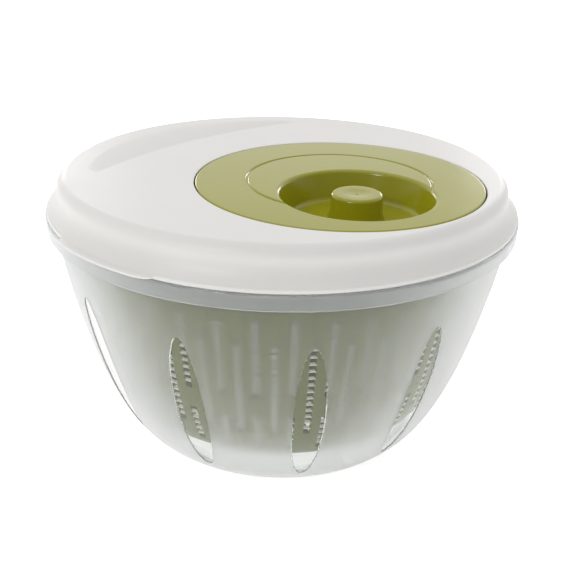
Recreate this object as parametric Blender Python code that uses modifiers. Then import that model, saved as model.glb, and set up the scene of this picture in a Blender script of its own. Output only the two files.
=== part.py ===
"""Salad spinner: a frosted bowl, a slotted basket and a lid with an off-centre crank dial.

Metres, +Z up. The origin is the centre of the bowl's foot, on the table, and the bowl's axis is
the Z axis. The dial turns about an upright axis beside the bowl's. A ring gear under it drives a
pinion on the bowl's axis, and the pinion's drive plate turns the basket.
"""
import math

import bmesh
import bpy
from mathutils import Matrix, Vector

# Fits
SEAT_GAP = 0.0003        # between faces that rest on each other
TURN_GAP = 0.0006        # between faces that turn past each other
SCREW_GAP = 0.0003       # between a screw's shank and its hole

# Bowl
RIM_RADIUS = 0.125       # outside of the turned-down rim
RIM_HEIGHT = 0.1303      # top of the rim above the table
RIM_DROP = 0.0076        # height of the turned-down skirt
RIM_REACH = 0.0044       # rim's outside beyond the outside of the wall
BOWL_WALL = 0.0020
FOOT_RADIUS = 0.0711
FOOT_RING = 0.0050       # width of the ring that stands on the table
FOOT_HOLLOW = 0.0015     # floor's rise inside the ring
CURVE_RISE = 1.20        # exponents of the curve from foot to rim
CURVE_ROUND = 0.464
PIVOT_HEIGHT = 0.0300    # top of the basket's pivot above the table
PIVOT_RADIUS = 0.0036
PIVOT_SPREAD = 0.0070    # pivot's radius where it leaves the floor
PIVOT_WAIST = 0.0046     # and halfway up

# Basket
BASKET_WALL = 0.0018
BASKET_CLEAR = 0.0069    # bowl's wall to the top of the basket's wall
BASKET_FLOOR = 0.0222    # underside of its floor above the table
BASKET_SPREAD = 0.0101   # its floor's radius beyond the bowl's foot
BASKET_BELOW_RIM = 0.0108
BASKET_LIP = 0.0020      # lip's reach beyond the wall
SLOT_COUNT = 18
SLOT_WIDTH = 0.0024
SLOT_LOW = 0.0140        # slots' lower end above the basket's floor
SLOT_HIGH = 0.0160       # slots' upper end below its lip
DRAIN_COUNT = 12
DRAIN_WIDTH = 0.0030
DRAIN_INNER = 0.0220
DRAIN_LENGTH = 0.0400
DOG_COUNT = 6
DOG_WIDTH = 0.0035
DOG_LENGTH = 0.0090
DOG_BITE = 0.0005        # dog's root inside the wall
SLOT_BITE = 0.0156       # slot cutters' start inside the floor's edge

# Lid
LID_RISE = 0.0181        # lid's flat top above the rim
LID_WALL = 0.0022
LID_EDGE_INSET = 0.0008  # lid's edge inside the rim's outside
LID_FLAT_INSET = 0.0125  # edge of the flat top inside the rim's outside
LID_NECK_INSET = 0.0069  # neck inside the rim's outside
LID_FLARE_SWEEP = math.radians(60.0)   # turn of the hollow flare below the neck
LID_EDGE_HEIGHT = 0.0022
LID_EDGE_ROUND = 0.0008
PLUG_WALL = 0.0020       # collar that locates the lid inside the bowl
PLUG_DEPTH = 0.0038
PLUG_ROOT = 0.0064       # collar's top above the rim, inside the flare's wall
PLUG_GAP = 0.0004
BOSS_WALL = 0.0021       # round a screw in a boss
TAB_REACH = 0.0024       # lifting tab beyond the rim
TAB_THICKNESS = 0.0016
TAB_RAISE = 0.0003       # tab's underside above the lid's edge
TAB_ROOT = 0.0012        # tab's reach at its very ends
TAB_END_ROUND = 3.0      # larger makes its rounded ends shorter
TAB_ANGLE = math.radians(-130.0)
TAB_HALF_ANGLE = math.radians(15.0)
GRIP_OUTER_INSET = 0.0206    # outer edge of the finger recess inside the rim's outside
GRIP_INNER = 0.0706          # inner edge from the bowl's axis, at the middle
GRIP_INNER_CURVE = 0.2550
GRIP_HALF_ANGLE = math.radians(53.0)
GRIP_DEPTH = 0.0060
GRIP_WALL = 0.0018
GRIP_TIP = 0.965         # inner edge's half width as a share of the outer edge's

# Dial
DIAL_RADIUS = 0.0728
DIAL_PLATE = 0.0024
DIAL_SKIRT = 0.0018
DIAL_GAP = 0.0006        # dial's edge to the lid
DIAL_ROUND = 0.0006      # rounding of its top edge
DIAL_SKIRT_LIFT = 0.0012     # skirt's lower edge above the ring gear
DIAL_ANGLE = math.radians(-42.1)   # from the bowl's axis to the dial's
DISH_RADIUS = 0.511 * DIAL_RADIUS
DISH_FLOOR_RADIUS = 0.460 * DIAL_RADIUS
DISH_DEPTH = 0.0150
DISH_WALL = 0.0018
DISH_FLOOR = 0.0020
DISH_OFFSET = 0.3063 * DIAL_RADIUS
DISH_ANGLE = math.radians(-70.6)   # from the dial's axis to the dish's
HUB_RADIUS = 0.0050
HUB_ROOF = 0.0006        # plastic left over the hub's pilot hole

# Knob
KNOB_RADIUS = 0.0120     # edge of its top
KNOB_FLARE = 0.0028      # base beyond the top
KNOB_FLOAT = 0.0004      # base above the dish's floor
KNOB_WALL = 0.0018
KNOB_ROUND = 0.0012      # rounding of the edge of its top
KNOB_WAIST_HEIGHT = 0.0055   # where its side turns out to the base
KNOB_WAIST_SHARE = 0.45      # share of the flare reached there
KNOB_LIP = 0.0006        # height of the base's edge
KNOB_SLEEVE = 0.0014     # wall of the sleeve round the post
KNOB_SLEEVE_LIFT = 0.0020
KNOB_ROOF = 0.0014       # plastic left over its pilot hole
POST_RADIUS = 0.0065
POST_WALL = 0.0018
POST_HEIGHT = 0.0101

# Gears
GEAR_MODULE = DIAL_RADIUS / 45.5
ADDENDUM = 0.9           # tooth's tip beyond the pitch circle, in modules
DEDENDUM = 1.15          # its root inside the pitch circle, in modules
PRESSURE_ANGLE = math.radians(20.0)
RING_TEETH = 72
PINION_TEETH = 24
GEAR_BACKLASH = 0.00035
RING_FACE = 0.0034
RING_RIM_RADIUS = DIAL_RADIUS - 0.0026
RING_SCREW_RADIUS = DIAL_RADIUS - 0.0068
RING_SCREW_ANGLES = tuple(math.radians(a) for a in (60.0, 160.0, 250.0))
PINION_FACE = 0.0045
SHAFT_RADIUS = 0.0050

# Gear housing
HOUSING_WALL = 0.0018
HOUSING_FLOOR = 0.0020
HOUSING_CLEAR = 0.0012   # dial's edge to the housing's wall
HOUSING_CHAMFER = 0.0013     # wall's top edge, cut back under the lid's shoulder
HOUSING_EAR_RADIUS = 0.0045
HOUSING_EAR_REACH = 0.0054
HOUSING_EAR_HEIGHT = 0.0110  # ears' underside above the housing's floor
EAR_THICKNESS = 0.0024
EAR_NECK = 0.9           # ear's half width at its root, as a share of its radius
HUB_COLLAR = 0.0022      # wall of the collar that the dial's hub turns in
HOUSING_SCREW_ANGLES = tuple(math.radians(a) for a in (18.0, 98.0, 178.0, 258.0))
RING_BELOW = 0.0027      # ring gear's underside above the housing's floor

# Bushing, drive plate and screws
BUSHING_FLANGE = 0.0105
BUSHING_SLEEVE = 0.0075
PLATE_THICKNESS = 0.0020
PLATE_BELOW = 0.0044     # plate's top below the housing
PLATE_EDGE_GAP = 0.0010
PLATE_HUB_RADIUS = 0.0110
HEX_RADIUS = 0.0048
HEX_END_GAP = 0.0006     # hexagon's end above the plate
SHANK_RADIUS = 0.0015
HEAD_RADIUS = 0.0033
HEAD_HEIGHT = 0.0016
WASHER_HEIGHT = 0.0008
DIAL_SCREW_LENGTH = 0.0075
DRIVE_SCREW_LENGTH = 0.0095
RING_SCREW_GRIP = 0.0080     # ring screws' length beyond the ring gear
SCREW_TIP_GAP = 0.0015       # housing screws' tips below the lid's underside
KNOB_TIP_GAP = 0.0020        # knob screw's tip below the knob's top

# Smoothness of round pieces
BIG_STEPS = 48
MEDIUM_STEPS = 36
SMALL_STEPS = 12
BOWL_POINTS = 10         # along the bowl's wall, top to bottom
BASKET_POINTS = 6
BEND_POINTS = 4          # round a bend of the lid's outline
OUTLINE_POINTS = 13      # along one edge of a flat outline
MERGE = 0.00001

# Levels and places that follow from the sizes above
LID_TOP = RIM_HEIGHT + LID_RISE
LID_UNDER = LID_TOP - LID_WALL
LID_MIDDLE = LID_TOP - LID_WALL / 2.0
RIM_LOW = RIM_HEIGHT - RIM_DROP
WALL_RADIUS = RIM_RADIUS - RIM_REACH
BASKET_TOP = RIM_HEIGHT - BASKET_BELOW_RIM
BASKET_TOP_RADIUS = WALL_RADIUS - BOWL_WALL - BASKET_CLEAR
BASKET_FLOOR_RADIUS = FOOT_RADIUS + BASKET_SPREAD
DISH_FLOOR_TOP = LID_TOP - DISH_DEPTH
DISH_UNDER = DISH_FLOOR_TOP - DISH_FLOOR
RING_TOP = DISH_UNDER - SEAT_GAP
RING_LOW = RING_TOP - RING_FACE
HOUSING_TOP_OF_FLOOR = RING_LOW - RING_BELOW
HOUSING_LOW = HOUSING_TOP_OF_FLOOR - HOUSING_FLOOR
PINION_TOP = RING_TOP - SEAT_GAP
PINION_LOW = PINION_TOP - PINION_FACE
PLATE_TOP = HOUSING_LOW - PLATE_BELOW
PLATE_LOW = PLATE_TOP - PLATE_THICKNESS
DIAL_OFFSET = GEAR_MODULE * (RING_TEETH - PINION_TEETH) / 2.0
DIAL_AXIS = Vector((DIAL_OFFSET * math.cos(DIAL_ANGLE), DIAL_OFFSET * math.sin(DIAL_ANGLE), 0.0))
DISH_AXIS = DIAL_AXIS + Vector(
    (DISH_OFFSET * math.cos(DISH_ANGLE), DISH_OFFSET * math.sin(DISH_ANGLE), 0.0))
BOWL_AXIS = Vector((0.0, 0.0, 0.0))
HOUSING_INNER = DIAL_RADIUS + HOUSING_CLEAR
HOUSING_OUTER = HOUSING_INNER + HOUSING_WALL
EAR_CIRCLE = HOUSING_OUTER + HOUSING_EAR_REACH
EAR_LOW = HOUSING_TOP_OF_FLOOR + HOUSING_EAR_HEIGHT
EAR_TOP = EAR_LOW + EAR_THICKNESS


# ---------------------------------------------------------------- scene and materials

def clear_scene():
    """Remove every object, so that the script can run in any file."""
    for old in list(bpy.data.objects):
        bpy.data.objects.remove(old, do_unlink=True)


def make_collection(name):
    """A new collection in the scene."""
    group = bpy.data.collections.new(name)
    bpy.context.scene.collection.children.link(group)
    return group


def plastic(name, colour, roughness, transmission=0.0, metallic=0.0):
    """A Principled material: colour is linear RGB."""
    mat = bpy.data.materials.new(name)
    mat.use_nodes = True
    shader = mat.node_tree.nodes["Principled BSDF"]
    shader.inputs["Base Color"].default_value = (*colour, 1.0)
    shader.inputs["Roughness"].default_value = roughness
    shader.inputs["Transmission Weight"].default_value = transmission
    shader.inputs["Metallic"].default_value = metallic
    mat.diffuse_color = (*colour, 1.0)
    return mat


def frosted_plastic(node):
    return plastic(node + "_frosted", (0.80, 0.82, 0.80), 0.45, transmission=0.7)


def white_plastic(node):
    return plastic(node + "_white", (0.78, 0.76, 0.73), 0.40)


def green_plastic(node):
    return plastic(node + "_green", (0.40, 0.42, 0.09), 0.35)


def basket_plastic(node):
    return plastic(node + "_basket_green", (0.22, 0.26, 0.08), 0.40)


def gear_plastic(node):
    return plastic(node + "_natural", (0.75, 0.74, 0.68), 0.35)


def steel(node):
    return plastic(node + "_steel", (0.62, 0.62, 0.60), 0.28, metallic=1.0)


# ---------------------------------------------------------------- modelling helpers

def link_mesh(name, mesh, group, axis=BOWL_AXIS):
    """A mesh object in the collection, standing on an upright axis."""
    obj = bpy.data.objects.new(name, mesh)
    obj.location = axis
    group.objects.link(obj)
    return obj


def turned(name, profile, steps, group, axis=BOWL_AXIS, closed=True):
    """Turn a profile of (radius, height) points about an upright axis.

    The points run down the outer side, top to bottom. A closed profile that touches the axis
    only at its ends is left open there, and the turn closes it.
    """
    mesh = bpy.data.meshes.new(name)
    points = [(r, 0.0, z) for r, z in profile]
    edges = [(i, i + 1) for i in range(len(points) - 1)]
    on_axis = profile[0][0] == 0.0 and profile[-1][0] == 0.0
    if closed and not on_axis:
        edges.append((len(points) - 1, 0))
    mesh.from_pydata(points, edges, [])
    obj = link_mesh(name, mesh, group, axis)
    screw = obj.modifiers.new("turn", "SCREW")
    screw.axis = "Z"
    screw.angle = 2.0 * math.pi
    screw.steps = steps
    screw.render_steps = steps
    screw.use_merge_vertices = True
    screw.merge_threshold = MERGE
    screw.use_smooth_shade = True
    screw.use_normal_calculate = False
    return obj


def mark_cutter(obj):
    """A guide shape that is only cut away or joined on."""
    obj.hide_render = True
    obj.display_type = "WIRE"
    return obj


def combine(obj, tool, operation, label):
    """Join a tool to an object or cut it out, with the exact solver."""
    mod = obj.modifiers.new(label, "BOOLEAN")
    mod.operation = operation
    mod.solver = "EXACT"
    mod.object = tool
    return mod


def join(obj, tool, label):
    return combine(obj, mark_cutter(tool), "UNION", label)


def cut(obj, tool, label):
    return combine(obj, mark_cutter(tool), "DIFFERENCE", label)


def add_cylinder(bm, centre, low, high, radius, sides, turn=0.0):
    """Add an upright cylinder to a bmesh."""
    middle = Vector((centre[0], centre[1], (low + high) / 2.0))
    place = Matrix.Translation(middle) @ Matrix.Rotation(turn, 4, "Z")
    bmesh.ops.create_cone(bm, cap_ends=True, segments=sides, radius1=radius, radius2=radius,
                          depth=high - low, matrix=place)


def add_box(bm, low, high, turn=0.0):
    """Add a box between two corners, turned about the Z axis."""
    size = Vector(high) - Vector(low)
    middle = (Vector(high) + Vector(low)) / 2.0
    place = Matrix.Rotation(turn, 4, "Z") @ Matrix.Translation(middle) @ Matrix.Diagonal(
        (*size, 1.0))
    bmesh.ops.create_cube(bm, size=1.0, matrix=place)


def from_bmesh(name, bm, group, axis=BOWL_AXIS):
    """Finish a bmesh as an object."""
    mesh = bpy.data.meshes.new(name)
    bm.to_mesh(mesh)
    bm.free()
    return link_mesh(name, mesh, group, axis)


def flat_outline(name, outline, low, high, group, axis=BOWL_AXIS):
    """Extrude a closed flat outline of (x, y) points between two heights."""
    curve = bpy.data.curves.new(name, "CURVE")
    curve.dimensions = "2D"
    curve.fill_mode = "BOTH"
    curve.extrude = (high - low) / 2.0
    spline = curve.splines.new("POLY")
    spline.points.add(len(outline) - 1)
    for point, (x, y) in zip(spline.points, outline):
        point.co = (x, y, 0.0, 1.0)
    spline.use_cyclic_u = True
    drawn = bpy.data.objects.new(name + "_outline", curve)
    group.objects.link(drawn)
    drawn.location = (axis.x, axis.y, (low + high) / 2.0)
    bpy.context.view_layer.update()
    evaluated = drawn.evaluated_get(bpy.context.evaluated_depsgraph_get())
    mesh = bpy.data.meshes.new_from_object(evaluated)
    bm = bmesh.new()
    bm.from_mesh(mesh)
    bmesh.ops.remove_doubles(bm, verts=bm.verts, dist=MERGE)
    bmesh.ops.recalc_face_normals(bm, faces=bm.faces)
    bm.to_mesh(mesh)
    bm.free()
    obj = bpy.data.objects.new(name, mesh)
    group.objects.link(obj)
    obj.matrix_world = drawn.matrix_world
    bpy.data.objects.remove(drawn, do_unlink=True)
    return obj


def polar(radius, angle):
    """A flat point from its radius and angle."""
    return (radius * math.cos(angle), radius * math.sin(angle))


def arc(centre, radius, start, end, count):
    """Points along an arc, both ends included."""
    step = (end - start) / (count - 1)
    return [(centre[0] + radius * math.cos(start + i * step),
             centre[1] + radius * math.sin(start + i * step)) for i in range(count)]


def swell(foot, top, share):
    """Radius of a bowl-like wall at a share of its height, from its foot to its top."""
    rise = 1.0 - (1.0 - share) ** CURVE_RISE
    return foot + (top - foot) * rise ** CURVE_ROUND


# ---------------------------------------------------------------- bowl and basket

def wall_points(foot, top, low, high, count):
    """Outside of a bowl-like wall, top to bottom, closer together near the foot."""
    points = []
    for i in range(count, 0, -1):
        share = (i / count) ** 2
        points.append((swell(foot, top, share), low + (high - low) * share))
    return points


def make_bowl(parts, cutters):
    """Bowl of one even wall with a turned-down rim, a foot ring and the basket's pivot."""
    underside = RIM_HEIGHT - BOWL_WALL
    profile = [(RIM_RADIUS - BOWL_WALL, RIM_LOW), (RIM_RADIUS - BOWL_WALL, underside),
               (WALL_RADIUS, underside)]
    profile += wall_points(FOOT_RADIUS, WALL_RADIUS, 0.0, RIM_LOW, BOWL_POINTS)
    ring_inner = FOOT_RADIUS - FOOT_RING
    profile += [(FOOT_RADIUS, 0.0), (ring_inner, 0.0), (ring_inner - FOOT_HOLLOW, FOOT_HOLLOW),
                (0.0, FOOT_HOLLOW)]
    bowl = turned("outer_bowl", profile, BIG_STEPS, parts, closed=False)
    thicken(bowl, BOWL_WALL)
    pivot_foot = FOOT_HOLLOW + BOWL_WALL / 2.0
    pivot = turned("bowl_pivot", [(0.0, PIVOT_HEIGHT), (PIVOT_RADIUS, PIVOT_HEIGHT),
                                  (PIVOT_WAIST, PIVOT_HEIGHT / 2.0), (PIVOT_SPREAD, pivot_foot),
                                  (0.0, pivot_foot)], SMALL_STEPS, cutters)
    join(bowl, pivot, "pivot")
    bowl.data.materials.append(frosted_plastic("outer_bowl"))


def thicken(obj, wall):
    """Give an open surface an even wall on its inner side."""
    mod = obj.modifiers.new("wall", "SOLIDIFY")
    mod.thickness = wall
    mod.offset = -1.0
    mod.use_even_offset = True
    mod.use_rim = True


def make_basket(parts, cutters):
    """Basket with upright slots, a slotted floor and a socket that stands on the pivot."""
    lip_under = BASKET_TOP - BASKET_WALL
    socket = PIVOT_RADIUS + TURN_GAP
    ceiling = PIVOT_HEIGHT + SEAT_GAP
    profile = [(BASKET_TOP_RADIUS + BASKET_LIP, lip_under)]
    profile += wall_points(BASKET_FLOOR_RADIUS, BASKET_TOP_RADIUS, BASKET_FLOOR, lip_under,
                           BASKET_POINTS)
    profile += [(BASKET_FLOOR_RADIUS, BASKET_FLOOR), (socket, BASKET_FLOOR), (socket, ceiling),
                (0.0, ceiling)]
    basket = turned("basket", profile, MEDIUM_STEPS, parts, closed=False)
    thicken(basket, BASKET_WALL)
    slot_start = BASKET_FLOOR_RADIUS - SLOT_BITE
    reach = BASKET_TOP_RADIUS + BASKET_LIP
    slots = bmesh.new()
    for i in range(SLOT_COUNT):
        turn = 2.0 * math.pi * (i + 0.5) / SLOT_COUNT
        add_box(slots, (slot_start, -SLOT_WIDTH / 2.0, BASKET_FLOOR + SLOT_LOW),
                (reach, SLOT_WIDTH / 2.0, lip_under - SLOT_HIGH), turn)
    cut(basket, from_bmesh("basket_slots", slots, cutters), "slots")
    drains = bmesh.new()
    for i in range(DRAIN_COUNT):
        turn = 2.0 * math.pi * i / DRAIN_COUNT
        add_box(drains, (DRAIN_INNER, -DRAIN_WIDTH / 2.0, BASKET_FLOOR - BASKET_WALL),
                (DRAIN_INNER + DRAIN_LENGTH, DRAIN_WIDTH / 2.0, BASKET_FLOOR + 2.0 * BASKET_WALL),
                turn)
    cut(basket, from_bmesh("basket_drains", drains, cutters), "drains")
    dogs = bmesh.new()
    inner = BASKET_TOP_RADIUS - BASKET_WALL
    for i in range(DOG_COUNT):
        turn = 2.0 * math.pi * i / DOG_COUNT
        add_box(dogs, (inner - DOG_WIDTH, -DOG_WIDTH / 2.0, lip_under - DOG_LENGTH),
                (inner + DOG_BITE, DOG_WIDTH / 2.0, lip_under), turn)
    join(basket, from_bmesh("basket_dogs", dogs, cutters), "dogs")
    basket.data.materials.append(basket_plastic("basket"))


# ---------------------------------------------------------------- lid

def lid_profile():
    """Outside of the lid: flat top, round shoulder, hollow flare and the edge on the rim."""
    edge = RIM_RADIUS - LID_EDGE_INSET
    neck = RIM_RADIUS - LID_NECK_INSET
    flat = RIM_RADIUS - LID_FLAT_INSET
    low = RIM_HEIGHT + SEAT_GAP
    shoulder = neck - flat
    flare_low = low + LID_EDGE_HEIGHT
    flare = (edge - LID_EDGE_ROUND - neck) / (1.0 - math.cos(LID_FLARE_SWEEP))
    flare_centre = (neck + flare, flare_low + flare * math.sin(LID_FLARE_SWEEP))
    points = [(0.0, LID_TOP)]
    points += arc((flat, LID_TOP - shoulder), shoulder, math.pi / 2.0, 0.0,
                  BEND_POINTS)
    points += arc(flare_centre, flare, math.pi, math.pi + LID_FLARE_SWEEP, BEND_POINTS)
    points += [(edge, flare_low - LID_EDGE_ROUND), (edge, low)]
    return points


def make_lid(parts, cutters):
    """Lid shell with the dial's opening, the finger recess, the lifting tab and screw bosses."""
    lid = turned("lid_shell", lid_profile(), BIG_STEPS, parts, closed=False)
    thicken(lid, LID_WALL)
    outer = WALL_RADIUS - BOWL_WALL - PLUG_GAP
    inner = outer - PLUG_WALL
    low = RIM_HEIGHT - PLUG_DEPTH
    high = RIM_HEIGHT + PLUG_ROOT
    collar = turned("lid_collar", [(outer, high), (outer, low), (inner, low), (inner, high)],
                    BIG_STEPS, cutters)
    join(lid, collar, "collar")
    pocket_floor = LID_TOP - GRIP_DEPTH
    block = flat_outline("grip_block", grip_outline(GRIP_WALL), pocket_floor - GRIP_WALL,
                         LID_MIDDLE, cutters)
    join(lid, block, "grip_block")
    tab_low = RIM_HEIGHT + SEAT_GAP + TAB_RAISE
    tab = flat_outline("lid_tab", tab_outline(), tab_low, tab_low + TAB_THICKNESS, cutters)
    join(lid, tab, "tab")
    bosses = bmesh.new()
    for angle in HOUSING_SCREW_ANGLES:
        x, y = polar(EAR_CIRCLE, angle)
        add_cylinder(bosses, (DIAL_AXIS.x + x, DIAL_AXIS.y + y), EAR_TOP + SEAT_GAP, LID_MIDDLE,
                     SHANK_RADIUS + BOSS_WALL, SMALL_STEPS)
    join(lid, from_bmesh("lid_bosses", bosses, cutters), "bosses")
    pocket = flat_outline("grip_pocket", grip_outline(0.0), pocket_floor, LID_TOP + LID_WALL,
                          cutters)
    cut(lid, pocket, "grip_pocket")
    opening = bmesh.new()
    add_cylinder(opening, DIAL_AXIS, LID_UNDER - LID_WALL, LID_TOP + LID_WALL,
                 DIAL_RADIUS + DIAL_GAP, BIG_STEPS)
    cut(lid, from_bmesh("dial_opening", opening, cutters), "dial_opening")
    pilots = bmesh.new()
    for angle in HOUSING_SCREW_ANGLES:
        x, y = polar(EAR_CIRCLE, angle)
        add_cylinder(pilots, (DIAL_AXIS.x + x, DIAL_AXIS.y + y), EAR_TOP - SEAT_GAP,
                     LID_TOP - LID_WALL, SHANK_RADIUS + SCREW_GAP, SMALL_STEPS)
    cut(lid, from_bmesh("boss_pilots", pilots, cutters), "boss_pilots")
    lid.data.materials.append(white_plastic("lid_shell"))


def grip_outline(grow):
    """Crescent of the finger recess, opposite the dial, grown all round by a wall."""
    middle = DIAL_ANGLE + math.pi
    outer = RIM_RADIUS - GRIP_OUTER_INSET + grow
    half = GRIP_HALF_ANGLE + grow / outer
    last = OUTLINE_POINTS - 1
    points = [polar(outer, middle + half * (1.0 - 2.0 * i / last)) for i in range(OUTLINE_POINTS)]
    curve_centre = GRIP_INNER - GRIP_INNER_CURVE
    inner_radius = GRIP_INNER_CURVE - grow
    tip = outer * math.sin(half) * GRIP_TIP
    for i in range(OUTLINE_POINTS):
        across = -tip + 2.0 * tip * i / last
        along = curve_centre + math.sqrt(inner_radius ** 2 - across ** 2)
        points.append((along * math.cos(middle) - across * math.sin(middle),
                       along * math.sin(middle) + across * math.cos(middle)))
    return points


def tab_outline():
    """Lifting tab: a strip of the lid's edge that reaches beyond the rim, with rounded ends."""
    outer = RIM_RADIUS + TAB_REACH
    inner = RIM_RADIUS - LID_EDGE_INSET - LID_WALL / 2.0
    start = TAB_ANGLE - TAB_HALF_ANGLE
    shares = [i / (OUTLINE_POINTS - 1) for i in range(OUTLINE_POINTS)]
    points = []
    for share in shares:
        ends = min(1.0, math.sin(math.pi * share) * TAB_END_ROUND) ** 0.5
        reach = inner + TAB_ROOT + (outer - inner - TAB_ROOT) * ends
        points.append(polar(reach, start + 2.0 * TAB_HALF_ANGLE * share))
    points += [polar(inner, start + 2.0 * TAB_HALF_ANGLE * (1.0 - share)) for share in shares]
    return points


def make_housing(parts, cutters):
    """Pan under the lid that holds the dial and the gears."""
    top = LID_UNDER - SEAT_GAP
    profile = [(HOUSING_OUTER - HOUSING_CHAMFER, top), (HOUSING_OUTER, top - 2.0 * HOUSING_CHAMFER),
               (HOUSING_OUTER, HOUSING_LOW), (0.0, HOUSING_LOW)]
    profile = [(0.0, HOUSING_TOP_OF_FLOOR), (HOUSING_INNER, HOUSING_TOP_OF_FLOOR),
               (HOUSING_INNER, top)] + profile
    housing = turned("gear_housing", profile, MEDIUM_STEPS, parts, axis=DIAL_AXIS)
    bore = HUB_RADIUS + TURN_GAP
    neck = HOUSING_EAR_RADIUS * EAR_NECK
    ears = bmesh.new()
    for angle in HOUSING_SCREW_ANGLES:
        add_cylinder(ears, polar(EAR_CIRCLE, angle), EAR_LOW, EAR_TOP, HOUSING_EAR_RADIUS,
                     SMALL_STEPS)
        add_box(ears, (HOUSING_INNER + HOUSING_WALL / 2.0, -neck, EAR_LOW),
                (EAR_CIRCLE, neck, EAR_TOP), angle)
    add_cylinder(ears, BOWL_AXIS, HOUSING_TOP_OF_FLOOR - HOUSING_FLOOR / 2.0,
                 DISH_UNDER - 2.0 * TURN_GAP, bore + HUB_COLLAR, 2 * SMALL_STEPS)
    ears_tool = from_bmesh("housing_ears", ears, cutters, DIAL_AXIS)
    join(housing, ears_tool, "ears").use_self = True
    holes = bmesh.new()
    for angle in HOUSING_SCREW_ANGLES:
        add_cylinder(holes, polar(EAR_CIRCLE, angle), EAR_LOW - EAR_THICKNESS,
                     EAR_TOP + EAR_THICKNESS, SHANK_RADIUS + SCREW_GAP, SMALL_STEPS)
    add_cylinder(holes, BOWL_AXIS, HOUSING_LOW - HOUSING_FLOOR, DISH_UNDER, bore,
                 2 * SMALL_STEPS)
    add_cylinder(holes, -DIAL_AXIS, HOUSING_LOW - HOUSING_FLOOR,
                 HOUSING_TOP_OF_FLOOR + HOUSING_FLOOR / 2.0, BUSHING_SLEEVE + SEAT_GAP,
                 2 * SMALL_STEPS)
    cut(housing, from_bmesh("housing_holes", holes, cutters, DIAL_AXIS), "holes")
    housing.data.materials.append(white_plastic("gear_housing"))


# ---------------------------------------------------------------- dial and knob

def make_dial(parts, cutters):
    """Dial with its off-centre finger dish, the knob's post, screw bosses and a hub."""
    inner = DIAL_RADIUS - DIAL_SKIRT
    low = RING_TOP + DIAL_SKIRT_LIFT
    under = LID_TOP - DIAL_PLATE
    middle = LID_TOP - DIAL_PLATE / 2.0
    profile = [(0.0, LID_TOP), (DIAL_RADIUS - DIAL_ROUND, LID_TOP),
               (DIAL_RADIUS, LID_TOP - DIAL_ROUND), (DIAL_RADIUS, low), (inner, low),
               (inner, under), (0.0, under)]
    dial = turned("crank_dial", profile, BIG_STEPS, parts, axis=DIAL_AXIS)
    shell = turned("dish_shell", [(0.0, middle),
                                  (DISH_RADIUS + DISH_WALL, middle),
                                  (DISH_FLOOR_RADIUS + DISH_WALL, DISH_UNDER),
                                  (0.0, DISH_UNDER)], MEDIUM_STEPS, cutters, axis=DISH_AXIS)
    join(dial, shell, "dish_shell")
    bosses = bmesh.new()
    for angle in RING_SCREW_ANGLES:
        add_cylinder(bosses, polar(RING_SCREW_RADIUS, angle), RING_TOP + SEAT_GAP, middle,
                     SHANK_RADIUS + BOSS_WALL, SMALL_STEPS)
    add_cylinder(bosses, BOWL_AXIS, HOUSING_LOW, DISH_UNDER + DISH_FLOOR / 2.0, HUB_RADIUS,
                 2 * SMALL_STEPS)
    join(dial, from_bmesh("dial_bosses", bosses, cutters, DIAL_AXIS), "bosses")
    post_top = DISH_FLOOR_TOP + POST_HEIGHT
    pocket = turned("dish_pocket", [(0.0, LID_TOP + DIAL_PLATE),
                                    (DISH_RADIUS, LID_TOP + DIAL_PLATE),
                                    (DISH_RADIUS, LID_TOP),
                                    (DISH_FLOOR_RADIUS, DISH_FLOOR_TOP),
                                    (POST_RADIUS, DISH_FLOOR_TOP), (POST_RADIUS, post_top),
                                    (0.0, post_top)], MEDIUM_STEPS, cutters, axis=DISH_AXIS)
    cut(dial, pocket, "dish_pocket")
    shank = SHANK_RADIUS + TURN_GAP
    ceiling = post_top - POST_WALL
    cavity = turned("post_cavity", [(0.0, post_top + POST_WALL), (shank, post_top + POST_WALL),
                                    (shank, ceiling), (POST_RADIUS - POST_WALL, ceiling),
                                    (POST_RADIUS - POST_WALL, DISH_UNDER - DISH_FLOOR),
                                    (0.0, DISH_UNDER - DISH_FLOOR)], SMALL_STEPS, cutters,
                    axis=DISH_AXIS)
    cut(dial, cavity, "post_cavity")
    pilots = bmesh.new()
    for angle in RING_SCREW_ANGLES:
        add_cylinder(pilots, polar(RING_SCREW_RADIUS, angle), RING_TOP - SEAT_GAP,
                     under - SEAT_GAP, SHANK_RADIUS + SCREW_GAP, SMALL_STEPS)
    add_cylinder(pilots, BOWL_AXIS, HOUSING_LOW - HOUSING_FLOOR, DISH_UNDER - HUB_ROOF,
                 SHANK_RADIUS + SCREW_GAP, SMALL_STEPS)
    cut(dial, from_bmesh("dial_pilots", pilots, cutters, DIAL_AXIS), "pilots")
    dial.data.materials.append(green_plastic("crank_dial"))


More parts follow.
